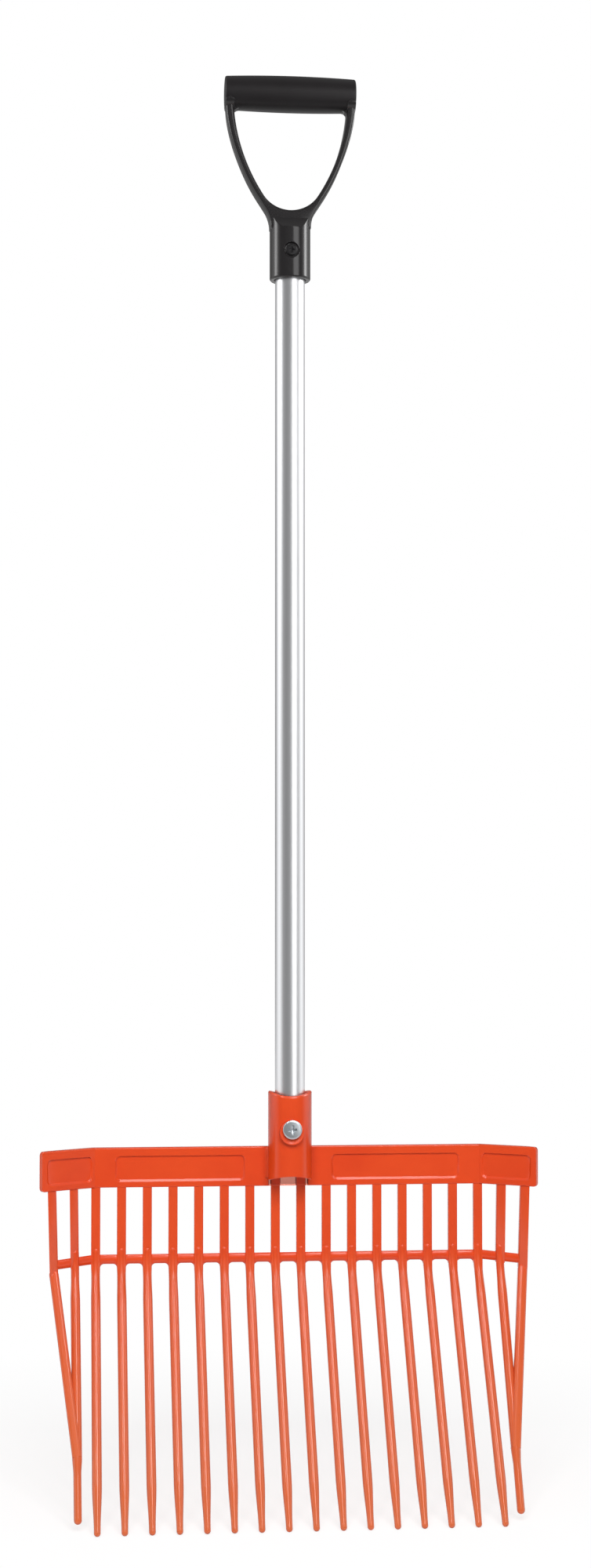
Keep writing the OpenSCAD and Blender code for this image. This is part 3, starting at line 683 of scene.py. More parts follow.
def rail_rings(sizes):
    """The cross rail: an upright ellipse carried along the board's plane. It thickens downwards beside each
    middle bar by a quarter round, and slopes down a little on the wings."""
    half_bar = sizes.bar_w / 2
    r = sizes.rail_corner_r
    # Its columns lie closer together where the quarter round is steep.
    away = half_bar + r * np.array([0, 0.06, 0.16, 0.3, 0.5, 0.75, 1])
    ends = np.array([fold_x(sizes), wing_x(sizes, 1), wing_x(sizes, 2)])
    x = np.concatenate([(TINE_X[:, None] + away).ravel(), (TINE_X[:, None] - away).ravel(), ends, -ends])
    x = np.unique(np.round(x, 6))
    beside = np.clip(np.abs(x[:, None] - TINE_X).min(axis=1) - half_bar, 0, r)
    fillet = (r - np.sqrt(r * r - (r - beside) ** 2)) * (np.abs(x) < TINE_X[-1] + half_bar / 2)
    out = np.clip(np.abs(x) - fold_x(sizes), 0, None)
    drop = sizes.wing_rail_drop * out / (PITCH * math.cos(sizes.wing_angle))
    top = RAIL_TOP - drop
    bottom = RAIL_TOP - drop - sizes.rail_h - fillet
    path = np.stack([x, plane_y(sizes) - out * math.tan(sizes.wing_angle), (top + bottom) / 2], axis=-1)
    turn = np.linspace(0, 2 * np.pi, 40, endpoint=False)
    half_h = ((top - bottom) / 2)[:, None]
    sections = np.stack([sizes.rail_t / 2 * np.cos(turn) + 0 * half_h, half_h * np.sin(turn)], axis=-1)
    return sweep(path, (0, 1, 0), (0, 0, 1), sections)


def in_panel(u, v, left, right, low, high, r):
    """Signed distance inside a rectangle with round corners, above 0 inside it."""
    over_u = np.abs(u - (left + right) / 2) - (right - left) / 2 + r
    over_v = np.abs(v - (low + high) / 2) - (high - low) / 2 + r
    outside = np.hypot(np.clip(over_u, 0, None), np.clip(over_v, 0, None))
    return r - outside - np.minimum(np.maximum(over_u, over_v), 0)


def socket_ends(x, socket):
    """Heights of the socket's hollowed ends at a distance from the shaft's axis: arcs that cut in furthest
    at its middle."""
    arc_r = socket.mouth_arc_r
    socket_r = SOCKET_HIGH.x
    sag = np.sqrt(arc_r ** 2 - np.minimum(np.abs(x), socket_r) ** 2) - math.sqrt(arc_r ** 2 - socket_r ** 2)
    return SOCKET_LOW.z + sag, SOCKET_HIGH.z - sag


def board_columns(sizes, arc_start, end, panels):
    """Places along the board at which its shell has a column: close together at the pocket, at both ends of
    each panel and along its round corners, round the fold and towards the rounded end."""
    pocket_end, pocket_step, step = 22 * MM, 0.4 * MM, 6 * MM
    corner = 1 - np.cos(np.linspace(0, np.pi / 2, 9))
    places = [np.arange(0, pocket_end, pocket_step), np.arange(0, end, step),
              arc_start + sizes.fold_r * sizes.wing_angle * np.linspace(0, 1, 7),
              end - sizes.wing_corner_r * corner]
    for left, right in panels:
        sides = sizes.panel_draft / 2 * np.array([-1, 1])
        round_end = sizes.panel_r * corner
        places += [left + sides, right + sides, left + round_end, right - round_end]
    places = np.unique(np.round(np.concatenate(places), 6))
    places = places[places <= end]
    return np.concatenate([-places[:0:-1], places])


def board_path(sizes, u, arc_start):
    """Middle line of the board at the places u along it: straight, round the fold's arc and straight on. It
    comes with the direction square to it, to the back."""
    out = np.abs(u)
    turn = np.clip((out - arc_start) / sizes.fold_r, 0, sizes.wing_angle)
    straight = np.where(out > arc_start, out - arc_start - sizes.fold_r * turn, out - arc_start)
    side = np.where(u < 0, -1.0, 1.0)
    x = side * (arc_start + sizes.fold_r * np.sin(turn) + straight * np.cos(turn))
    y = plane_y(sizes) - sizes.fold_r * (1 - np.cos(turn)) - straight * np.sin(turn)
    path = np.stack([x, y, 0 * x + BOARD_MIDDLE], axis=-1)
    deep = np.stack([side * np.sin(turn), np.cos(turn), 0 * turn], axis=-1)
    return path, deep


def board_front(sizes, out, panels):
    """Heights of the rows of the board's front, which follow the panels' outlines, and the depth to which
    the panels press each point in: by a straight slope across each outline, steep at its top."""
    draft = sizes.panel_draft / 2
    steep = 0.1 * MM
    low, high = -BOARD_HALF_H + sizes.panel_bottom, BOARD_HALF_H - sizes.panel_top
    inward = np.max([np.minimum(out - left, right - out) for left, right in panels], axis=0)
    inward = np.clip(inward, 0, sizes.panel_r)
    sag = sizes.panel_r - np.sqrt(sizes.panel_r ** 2 - (sizes.panel_r - inward) ** 2)
    lower, upper = (low + sag)[:, None], (high - sag)[:, None]
    rows = np.linspace(0, 1, 7)
    bottom, top = -BOARD_HALF_H + sizes.board_edge, BOARD_HALF_H - sizes.board_edge
    heights = np.concatenate([bottom + (lower - draft - bottom) * rows,
                              lower + draft + (upper - lower - draft - steep) * rows,
                              upper + steep + (top - upper - steep) * rows], axis=1)
    inside = np.max([in_panel(out[:, None], heights, left, right, low, high, sizes.panel_r)
                     for left, right in panels], axis=0)
    slope = np.where(np.arange(3 * len(rows)) < 1.5 * len(rows), draft, steep)
    return heights, sizes.panel_depth * np.clip((inside + slope) / (2 * slope), 0, 1)


def board_shell(sizes, socket):
    """The board: a rounded section carried along a path that folds forward at both ends. Its front is
    pressed in by the panels, and by a smooth step where the signed distance inside the pocket under the
    socket is above 0. It thins towards its ends, whose corners are round. Each point's share of the step
    comes with the shell."""
    half_t = sizes.board_t / 2
    edge = sizes.board_edge
    tangent = sizes.fold_r * math.tan(sizes.wing_angle / 2)
    arc_start = fold_x(sizes) - tangent
    end = fold_x(sizes) + sizes.wing_length - 2 * tangent + sizes.fold_r * sizes.wing_angle
    wing_start = arc_start + sizes.fold_r * sizes.wing_angle / 2
    panels = [(sizes.panel_inner, fold_x(sizes) - sizes.panel_outer),
              (wing_start + sizes.wing_panel_start, end - sizes.wing_panel_end)]
    u = board_columns(sizes, arc_start, end, panels)
    out = np.abs(u)
    path, deep = board_path(sizes, u, arc_start)
    front_v, pressed = board_front(sizes, out, panels)

    round_up, round_in = edge * np.sin(QUARTER), edge * np.cos(QUARTER)
    bottom, top = -BOARD_HALF_H + edge, BOARD_HALF_H - edge
    back = np.linspace(top, bottom, 26)[1:-1]
    rest_v = np.concatenate([top + round_up[1:], top + round_in[1:], back, bottom - round_up,
                             bottom - round_in[1:-1]])
    rest_w = np.concatenate([-half_t + edge - round_in[1:], half_t - edge + round_up[1:], half_t + 0 * back,
                             half_t - edge + round_in, -half_t + edge - round_up[1:-1]])
    v = np.concatenate([front_v, np.broadcast_to(rest_v, (len(u), len(rest_v)))], axis=1)

    pocket_overlap = 3 * MM
    arch = socket_ends(out[:, None], socket)[0] - BOARD_MIDDLE
    from_bar = np.abs(out[:, None] - PITCH / 2) - sizes.bar_w / 2
    pocket = np.minimum(np.minimum(arch + pocket_overlap - v, socket.pocket_w / 2 - out[:, None]), from_bar)
    sunk = smooth_step(pocket, -0.2 * MM, 0.4 * MM)
    w = np.concatenate([pressed + socket.pocket_depth * sunk[:, :front_v.shape[1]] - half_t,
                        np.broadcast_to(rest_w, (len(u), len(rest_w)))], axis=1)
    spare = (sizes.board_t - sizes.wing_end_t) * smooth_step(out, end - sizes.wing_thin, end)
    w -= spare[:, None] * (w + half_t) / sizes.board_t
    to_end = np.clip(end - out, 0, sizes.wing_corner_r)
    cut = sizes.wing_corner_r - np.sqrt(sizes.wing_corner_r ** 2 - (sizes.wing_corner_r - to_end) ** 2)
    rings = path[:, None] + w[..., None] * deep[:, None]
    rings[..., 2] += v * (1 - cut / BOARD_HALF_H)[:, None]
    return skin(rings), np.append(sunk.ravel(), [0, 0])


def socket_shell(socket):
    """The socket: rings from the arch at its foot over the outside and the rounded rim into the bore. Each
    ring's height follows the hollowed ends at its own distance from the shaft's axis."""
    outer = SOCKET_HIGH.x
    bore = TUBE_HIGH.x + socket.bore_gap
    mouth = socket.mouth_d / 2
    lip = socket.rim_edge
    bevel_r = outer - socket.rim_bevel_w
    run = np.linspace(0.02, 0.96, 24)
    foot = np.stack([outer - lip + lip * np.sin(QUARTER), lip - lip * np.cos(QUARTER)], axis=-1)
    rim = eased([(outer, -1.4 * socket.rim_bevel_h), (outer, -socket.rim_bevel_h), (bevel_r, -lip / 2),
                 (bevel_r - lip, 0), (bevel_r - 2 * lip, 0)], lip / 3)
    inner_rim = np.stack([mouth + lip - lip * np.sin(QUARTER), lip * np.cos(QUARTER) - lip], axis=-1)
    # Each row gives a radius, its shares of the upper and the lower end's height, and an offset from them.
    rows = np.concatenate([
        [[POLE_R, 0, 1, 0], [outer / 3, 0, 1, 0], [outer * 2 / 3, 0, 1, 0]],
        np.insert(foot, 1, [[0], [1]], axis=1),
        np.stack([outer + 0 * run, run, 1 - run, 0 * run], axis=-1),
        np.insert(rim, 1, [[1], [0]], axis=1),
        np.insert(inner_rim, 1, [[1], [0]], axis=1),
        [[bore, 1, 0, -socket.mouth_depth], [bore, 0, 0, TUBE_LOW.z], [POLE_R, 0, 0, TUBE_LOW.z]]])
    radius, top_share, low_share, offset = rows.T[:, :, None]
    turn = np.linspace(0, 2 * np.pi, 96, endpoint=False)
    x = radius * np.sin(turn)
    y = -radius * np.cos(turn)
    low, high = socket_ends(x, socket)
    return skin(np.stack([x, y, top_share * high + low_share * low + offset], axis=-1))


def flank_fillet(sizes, socket):
    """The hollow blend between the socket's right flank and the board: an arc that touches both, closed by a
    point inside the board, carried from the socket's foot up to the board's top edge."""
    r = socket.flank_r
    socket_r = SOCKET_HIGH.x
    front = BOARD_HIGH.y - sizes.board_t
    centre = np.array([math.sqrt((socket_r + r) ** 2 - (front - r) ** 2), front - r])
    from_socket = math.atan2(-centre[1], -centre[0])
    turn = np.linspace(from_socket + 2 * np.pi, np.pi / 2, 10)
    arc = centre + r * np.stack([np.cos(turn), np.sin(turn)], axis=-1)
    inside = np.array([[centre[0], front + MM], [centre[0] - r, front + MM], arc[0] * 0.9])
    outline = np.concatenate([arc, inside])
    low = socket_ends(np.array([socket_r]), socket)[0][0]
    z = np.array([low, BOARD_HIGH.z - 1.5 * sizes.board_edge, BOARD_HIGH.z - 0.6 * sizes.board_edge,
                  BOARD_HIGH.z - 0.2 * sizes.board_edge])
    # Near the board's top it is drawn in towards a point inside the board.
    shrink = np.array([0, 0, 0.25, 0.7])[:, None, None]
    anchor = np.array([centre[0] - r, front + MM])
    flat = outline[None] * (1 - shrink) + anchor * shrink
    return skin(np.concatenate([flat, np.broadcast_to(z[:, None, None], flat.shape[:2] + (1,))], axis=-1))


def boss(socket, face, z, lip):
    """A round boss from inside the socket's wall out to its face, with an eased edge. The lower part of its
    face rises towards its edge into a lip."""
    r = socket.boss_d / 2
    start = math.copysign(TUBE_HIGH.x + 2 * socket.bore_gap, face)
    rim = eased([(POLE_R, start), (r, start), (r, face), (r * 0.9, face)], socket.boss_edge)
    inward = np.linspace(0.88, 0.05, 12) * r
    profile = np.concatenate([rim, np.stack([inward, face + 0 * inward], axis=-1)])
    rings = turned(profile, 1, (0, 0, z))
    away = np.hypot(rings[..., 0], rings[..., 2] - z)
    below = np.clip((z - rings[..., 2]) / r, 0, 1)
    risen = lip * below * smooth_step(away, 0.45 * r, 0.95 * r) * (rings[..., 1] / face > 0.8)
    rings[..., 1] += math.copysign(1, face) * risen
    return skin(rings)


def cross_recess(x, z, span, width):
    """How far inside a cross a point lies: the larger of its distances inside two crossed bars."""
    level = np.minimum(span / 2 - np.abs(x), width / 2 - np.abs(z))
    upright = np.minimum(span / 2 - np.abs(z), width / 2 - np.abs(x))
    return np.maximum(level, upright)


def headed_shank(seat, end, z, head_r, head_h, edge, shank_r, span, width, depth):
    """A bolt or screw along Y: a turned profile over a slightly domed head with an eased chamfer and a plain
    shank, whose head is pressed in by a cross recess that deepens towards its middle."""
    dome = head_h * 0.1
    top = seat - head_h
    face = np.linspace(0.02, 1, 40) * (head_r - edge)
    flat = np.stack([face, top + dome * (face / head_r) ** 2], axis=-1)
    rest = eased([(head_r - edge, top + dome), (head_r, top + edge), (head_r, seat), (shank_r, seat),
                  (shank_r, end - shank_r / 4), (shank_r / 2, end), (0.02 * MM, end)],
                 np.array([0.3, 0.3, 0.1, 0.1, 0.2]) * edge)
    rings = turned(np.concatenate([flat, rest[1:]]), 1, (0, 0, z), sides=96)
    head = rings[:len(face)]
    inside = cross_recess(head[..., 0], head[..., 2] - z, span, width)
    away = np.hypot(head[..., 0], head[..., 2] - z)
    head[..., 1] += depth * smooth_step(inside, -0.05 * width, 0.25 * width) * (1 - 0.6 * away / (span / 2))
    return skin(rings)


def ring_shell(inner, outer, front, back, edge, z):
    """A flat ring along Y with eased edges."""
    middle = (inner, (front + back) / 2)
    corners = [middle, (inner, front), (outer, front), (outer, back), (inner, back), middle]
    return band(turned(eased(corners, edge, 4)[:-1], 1, (0, 0, z)))


def nut_shells(socket):
    """A lock nut along Y: rings whose radius follows a hexagon's flats, held back by a cone at both faces and
    never less than the bore, and a round collar."""
    flats = (NUT_HIGH.z - NUT_LOW.z) / 2
    front, back = NUT_LOW.y, NUT_LOW.y + socket.nut_hex_h
    bore = socket.bolt_d / 2 + socket.bore_gap
    turn = np.linspace(0, 2 * np.pi, 144, endpoint=False)
    hexagon = flats / np.cos(np.mod(turn + np.pi / 6, np.pi / 3) - np.pi / 6)
    # The rings run from the middle of the bore over the front face and the flats to the back face.
    cone = flats * np.array([0, 0, 0.95, 1.2, 1.2, 0.95, 0])[:, None]
    along = front + (back - front) * np.array([0.5, 0, 0, 0.15, 0.85, 1, 1])[:, None]
    radius = np.maximum(bore, np.minimum(hexagon, cone))
    rings = np.stack([radius * np.sin(turn), along + 0 * radius, BOLT_Z - radius * np.cos(turn)], axis=-1)
    collar = ring_shell(bore, socket.nut_collar_d / 2, back - MM / 2, NUT_HIGH.y, 0.8 * MM, BOLT_Z)
    return [band(rings), collar]


# The grip

def arc_points(centre, r, first, last, count=25):
    """Points of an arc, with angles counted from straight down towards +X."""
    turn = np.linspace(first, last, count)
    return np.asarray(centre) + r * np.stack([np.sin(turn), -np.cos(turn)], axis=-1)


def bar_z(sizes):
    """Height of the hand bar's axis."""
    return TUBE_HIGH.z + sizes.bar_rise


def yoke_lines(sizes):
    """Inner and outer line of the right half of the yoke, from the hand bar's axis down to the window's
    lowest point. The inner line is the arm's arc and then the window's lower arc. The outer line runs beside
    it, swells a little towards the hand bar, and goes down the flare into the socket."""
    lean = sizes.arm_lean
    window_z = TUBE_HIGH.z + sizes.window_rise
    window_centre = np.array([0, window_z + sizes.window_r])
    outward = np.array([math.sin(lean), -math.cos(lean)])
    arm_start = window_centre + sizes.window_r * outward
    arm_centre = arm_start - sizes.arm_r * outward
    arm_end = math.acos((arm_centre[1] - bar_z(sizes)) / sizes.arm_r)
    outer_start = arm_start + sizes.arm_t * outward
    flare_turn = math.pi / 2 - lean
    half = sizes.socket_d / 2
    flare_x = half + sizes.flare_r * (1 - math.cos(flare_turn))
    flare_top = outer_start[1] - (outer_start[0] - flare_x) * math.tan(lean)
    flare_z = flare_top - sizes.flare_r * math.sin(flare_turn)
    flare_centre = (half + sizes.flare_r, flare_z)
    inner = np.concatenate([arc_points(arm_centre, sizes.arm_r, arm_end, lean, 61),
                            arc_points(window_centre, sizes.window_r, lean, 0)[1:]])
    corner_start = bar_z(sizes) - sizes.bar_end_d / 2 - sizes.corner_r
    outer = np.concatenate([arc_points(arm_centre, sizes.arm_r + sizes.arm_t, arm_end, lean, 61),
                            arc_points(flare_centre, sizes.flare_r, -math.pi / 2 - flare_turn,
                                       -math.pi / 2, 20),
                            np.linspace((half * 0.9, flare_z - 2 * MM), (0, flare_z - 6 * MM), 4)])
    swell = smooth_step(outer[:, 1], corner_start - sizes.arm_swell_run, corner_start)
    outer[:, 0] += sizes.arm_swell * swell
    return inner, outer


def yoke_shell(sizes):
    """The yoke: rounded rectangles between its inner and outer lines, from one arm's top round to the
    other."""
    inner, outer = yoke_lines(sizes)
    inner = np.concatenate([inner, (inner * [-1, 1])[-2::-1]])
    outer = np.concatenate([outer, (outer * [-1, 1])[-2::-1]])
    middle = (inner + outer) / 2
    across = (outer - inner) / 2
    half = np.linalg.norm(across, axis=1)
    across = across / half[:, None]
    path = np.stack([middle[:, 0], 0 * half, middle[:, 1]], axis=-1)
    direction = np.stack([across[:, 0], 0 * half, across[:, 1]], axis=-1)
    edge = np.minimum(sizes.arm_edge, half * 0.8)
    return skin(sweep(path, direction, (0, 1, 0), rounded(half, sizes.arm_depth / 2, edge, 6)))


def cup_shell(sizes):
    """The seat of the right arm under the hand bar: a rounded strip carried round the lower part of the bar
    and eased to a tongue at both ends."""
    x = yoke_lines(sizes)[1][0, 0] - sizes.cup_w / 2
    turn = np.linspace(-1, 1, 65) * sizes.cup_reach
    at_end = smooth_step(np.abs(turn), 0.8 * sizes.cup_reach, sizes.cup_reach)
    tongue = np.sqrt(np.clip(1 - at_end ** 2, 0.02, 1))
    radius = sizes.bar_end_d / 2
    path = np.stack([x + 0 * turn, radius * np.sin(turn), bar_z(sizes) - radius * np.cos(turn)], axis=-1)
    outward = np.stack([0 * turn, np.sin(turn), -np.cos(turn)], axis=-1)
    sections = rounded(sizes.cup_w / 2 * tongue, sizes.cup_proud * tongue, sizes.cup_edge * tongue, 6)
    return skin(sweep(path, (1, 0, 0), outward, sections))


def corner_shell(sizes):
    """The fillet in the right inner corner of the window: a hollow quarter round from the arm to the hand
    bar's underside, closed behind by a point inside them, carried from front to back and drawn in at both
    ends."""
    r = sizes.corner_r
    under = bar_z(sizes) - sizes.bar_end_d / 2
    inner = yoke_lines(sizes)[0]
    arm_x = np.interp(under - r, inner[::-1, 1], inner[::-1, 0])
    turn = np.linspace(0, np.pi / 2, 10)
    hollow = np.array([arm_x - r, under - r]) + r * np.stack([np.cos(turn), np.sin(turn)], axis=-1)
    anchor = np.array([arm_x + MM, under + 2 * MM])
    behind = np.array([[arm_x - r, anchor[1]], anchor, [anchor[0], under - r]])
    outline = np.concatenate([hollow, behind])
    y = sizes.corner_w / 2 * np.array([-1, -0.85, 0.85, 1])
    shrink = np.array([0.3, 0, 0, 0.3])[:, None, None]
    flat = outline[None] * (1 - shrink) + anchor * shrink
    return skin(np.insert(flat, 1, y[:, None], axis=-1))


def hand_bar_shell(sizes):
    """The hand bar: a turned form whose radius falls off with the square of the distance from its middle,
    with round edges at its ends."""
    half = GRIP_HIGH.x
    edge = sizes.bar_edge
    along = np.linspace(-1, 1, 61) * (half - edge)
    radius = sizes.bar_d / 2 - (sizes.bar_d - sizes.bar_end_d) / 2 * (along / (half - edge)) ** 2
    end_r = sizes.bar_end_d / 2 - edge + edge * np.cos(QUARTER[1:])
    end_along = half - edge + edge * np.sin(QUARTER[1:])
    profile = np.concatenate([np.stack([end_r, -end_along], axis=-1)[::-1],
                              np.stack([radius, along], axis=-1),
                              np.stack([end_r, end_along], axis=-1)])
    return skin(turned(profile, 0, (0, 0, bar_z(sizes)), sides=96))


def grip_socket_shell(sizes, bore_gap):
    """The grip's socket: rings from the bore's end down the bore, round the chamfered rim and up the outside,
    where a ledge and a sloped flat cut the round at each shoulder. A round flat is pressed in around the
    screw."""
    r = sizes.socket_d / 2
    bore = TUBE_HIGH.x + bore_gap
    rim = GRIP_LOW.z
    ledge = TUBE_HIGH.z - sizes.shoulder_drop
    top = ledge + sizes.shoulder_h
    end = TUBE_HIGH.z + sizes.window_rise - 1.2 * MM
    chamfer = sizes.rim_chamfer
    outside = np.concatenate([np.linspace(rim + 1.4 * chamfer, ledge - 0.2 * MM, 70),
                              np.linspace(ledge + 0.2 * MM, end, 36)])
    inside = [(POLE_R, TUBE_HIGH.z), (bore, TUBE_HIGH.z), (bore, rim + chamfer),
              (bore + 0.3 * chamfer, rim + 0.3 * chamfer), (bore + chamfer, rim), (r - chamfer, rim),
              (r - 0.75 * chamfer, rim + 0.1 * chamfer), (r - 0.1 * chamfer, rim + 0.85 * chamfer)]
    profile = np.concatenate([inside, np.stack([r + 0 * outside, outside], axis=-1)])
    rings = turned(profile, 2, sides=160)
    half_depth = np.interp(rings[..., 2], [ledge, top],
                           [sizes.shoulder_d / 2, sizes.arm_depth / 2 - 0.4 * MM])
    near = np.abs(rings[..., 1])
    soft = 0.25 * MM
    flat = (near + half_depth - np.sqrt((near - half_depth) ** 2 + soft ** 2)) / 2
    is_outside = (np.arange(len(profile)) >= len(inside))[:, None]
    cut = is_outside & (rings[..., 2] > ledge)
    rings[..., 1] = np.where(cut, np.sign(rings[..., 1]) * flat, rings[..., 1])
    seat = SCREW_LOW.y + sizes.screw_head_h
    away = np.hypot(rings[..., 0], rings[..., 2] - SCREW_Z)
    sunk = smooth_step(sizes.screw_recess_d / 2 - away, -soft, soft) * is_outside * (rings[..., 1] < 0)
    rings[..., 1] += sunk * (seat - rings[..., 1])
    return skin(rings)


# Operators

class FORK_OT_tines(bpy.types.Operator):
    """Builds the sixteen middle tines with their flat bars"""
    bl_idname = "fork.tines"
    bl_label = "Middle tines"

    def execute(self, context):
        sizes = context.scene.fork_head
        material = moulded_polypropylene(context.scene.fork_finishes)
        rod = middle_rod(sizes)
        bar = tine_bar(sizes)
        for name, x in zip(TINES, TINE_X):
            place = np.array([x, plane_y(sizes), bend_z(sizes)])
            shells = [skin(bar + place), skin(rod + place)]
            # The slim share carries the painted tip light and the tines' gloss.
            piece(name, shells, [material], layer=("slim", slimness(sizes, shells)))
        return {"FINISHED"}


class FORK_OT_wings(bpy.types.Operator):
    """Builds the bars, tine and brace of both wings"""
    bl_idname = "fork.wings"
    bl_label = "Wing tines"

    def execute(self, context):
        sizes = context.scene.fork_head
        material = moulded_polypropylene(context.scene.fork_finishes)
        shells = wing_shells(sizes)
        # The slim share carries the painted tip light and the tines' gloss.
        slim = slimness(sizes, shells)
        piece("wing_tines_right", shells, [material], layer=("slim", slim))
        left_shells = [mirrored(shell) for shell in shells]
        piece("wing_tines_left", left_shells, [material], layer=("slim", slim))
        return {"FINISHED"}


class FORK_OT_rail(bpy.types.Operator):
    """Builds the cross rail below the windows"""
    bl_idname = "fork.rail"
    bl_label = "Cross rail"

    def execute(self, context):
        material = moulded_polypropylene(context.scene.fork_finishes)
        piece("cross_rail", [skin(rail_rings(context.scene.fork_head))], [material])
        return {"FINISHED"}


class FORK_OT_board(bpy.types.Operator):
    """Builds the board with its folded ends and panels"""
    bl_idname = "fork.board"
    bl_label = "Board"

    def execute(self, context):
        material = moulded_polypropylene(context.scene.fork_finishes)
        shell, thin = board_shell(context.scene.fork_head, context.scene.fork_socket)
        # The pocket's share becomes the thin attribute: there the material paints a paler backlight and lets
        # some light through.
        piece("head_board", [shell], [material], sharp=20.0, layer=("thin", thin))
        return {"FINISHED"}


class FORK_OT_socket(bpy.types.Operator):
    """Builds the head's socket with its bosses and flank fillets"""
    bl_idname = "fork.socket"
    bl_label = "Head socket"

    def execute(self, context):
        sizes = context.scene.fork_head
        socket = context.scene.fork_socket
        material = moulded_polypropylene(context.scene.fork_finishes)
        fillet = flank_fillet(sizes, socket)
        piece("head_socket", [socket_shell(socket), fillet, mirrored(fillet),
                              boss(socket, SOCKET_LOW.y, BOLT_Z - socket.boss_drop, socket.boss_lip),
                              boss(socket, SOCKET_HIGH.y, BOLT_Z, 0)], [material])
        return {"FINISHED"}


class FORK_OT_fasteners(bpy.types.Operator):
    """Builds the head's bolt, washer and lock nut"""
    bl_idname = "fork.fasteners"
    bl_label = "Head fasteners"

    def execute(self, context):
        socket = context.scene.fork_socket
        material = zinc_plated_steel(context.scene.fork_finishes)
        seat = BOLT_LOW.y + socket.bolt_head_h
        bolt = headed_shank(seat, BOLT_HIGH.y, BOLT_Z, BOLT_HIGH.x, socket.bolt_head_h, socket.bolt_edge,
                            socket.bolt_d / 2, socket.recess_span, socket.recess_w, socket.recess_depth)
        piece("head_bolt", [bolt], [material])
        washer = ring_shell(socket.bolt_d / 2 + socket.bore_gap, WASHER_HIGH.x, WASHER_LOW.y, WASHER_HIGH.y,
                            0.3 * MM, BOLT_Z)
        piece("head_washer", [washer], [material])
        piece("head_nut", nut_shells(socket), [material], sharp=25.0)
        return {"FINISHED"}


class FORK_OT_tube(bpy.types.Operator):
    """Builds the shaft's tube"""
    bl_idname = "fork.tube"
    bl_label = "Shaft tube"

    def execute(self, context):
        outer = TUBE_HIGH.x
        inner = outer - context.scene.fork_grip.tube_wall
        along = np.linspace(TUBE_LOW.z, TUBE_HIGH.z, 40)
        profile = np.concatenate([np.stack([outer + 0 * along, along], axis=-1),
                                  np.stack([inner + 0 * along, along[::-1]], axis=-1)])
        material = drawn_aluminium(context.scene.fork_finishes)
        piece("shaft_tube", [band(turned(profile, 2, sides=128))], [material])
        return {"FINISHED"}


class FORK_OT_grip(bpy.types.Operator):
    """Builds the D grip: hand bar, yoke, seats, corner fillets and socket"""
    bl_idname = "fork.grip"
    bl_label = "D grip"

    def execute(self, context):
        sizes = context.scene.fork_grip
        finishes = context.scene.fork_finishes
        bar = hand_bar_shell(sizes)
        cup = cup_shell(sizes)
        corner = corner_shell(sizes)
        # The hand bar is the first shell, so it takes the matt plastic.
        shells = [bar, yoke_shell(sizes), cup, mirrored(cup), corner, mirrored(corner),
                  grip_socket_shell(sizes, context.scene.fork_socket.bore_gap)]
        piece("d_grip", shells, [polished_black_plastic(finishes), matt_black_plastic(finishes)])
        return {"FINISHED"}


class FORK_OT_screw(bpy.types.Operator):
    """Builds the screw through the grip's socket"""
    bl_idname = "fork.screw"
    bl_label = "Grip screw"

    def execute(self, context):
        sizes = context.scene.fork_grip
        seat = SCREW_LOW.y + sizes.screw_head_h
        screw = headed_shank(seat, SCREW_HIGH.y, SCREW_Z, SCREW_HIGH.x, sizes.screw_head_h,
                             sizes.screw_head_edge, sizes.screw_d / 2, sizes.screw_slot, sizes.screw_slot_w,
                             sizes.screw_slot_depth)
        piece("grip_screw", [screw], [blackened_steel(context.scene.fork_finishes)])
        return {"FINISHED"}


# The stage

def around(azimuth, distance, height):
    """A place round the fork. Azimuth 0 lies at the front and 90 on the right, in degrees."""
    turn = math.radians(azimuth)
    return Vector((distance * math.sin(turn), -distance * math.cos(turn), height))


def softbox(name, place, target, along, size, radiance, in_gloss=True, pieces=()):
    """A rectangular lamp that faces a target, with its second size along the given direction. It is seen in
    gloss alone, or lights the fork without showing in it. Where pieces are named, it shines on no other."""
    lamp = bpy.data.lights.new(name, "AREA")
    lamp.shape = "RECTANGLE"
    lamp.size, lamp.size_y = size
    lamp.energy = radiance * math.pi * size[0] * size[1]
    made = bpy.data.objects.new(name, lamp)
    made.visible_camera = False
    made.visible_diffuse = not in_gloss
    made.visible_glossy = in_gloss
    back = (place - target).normalized()
    across = Vector(along).cross(back).normalized()
    facing = Matrix((across, back.cross(across), back)).transposed()
    made.matrix_world = Matrix.Translation(place) @ facing.to_4x4()
    bpy.context.scene.collection.objects.link(made)
    if pieces:
        lit = bpy.data.collections.new(name + "_shines_on")
        for piece_name in pieces:
            lit.objects.link(bpy.data.objects[piece_name + "_form"])
        made.light_linking.receiver_collection = lit


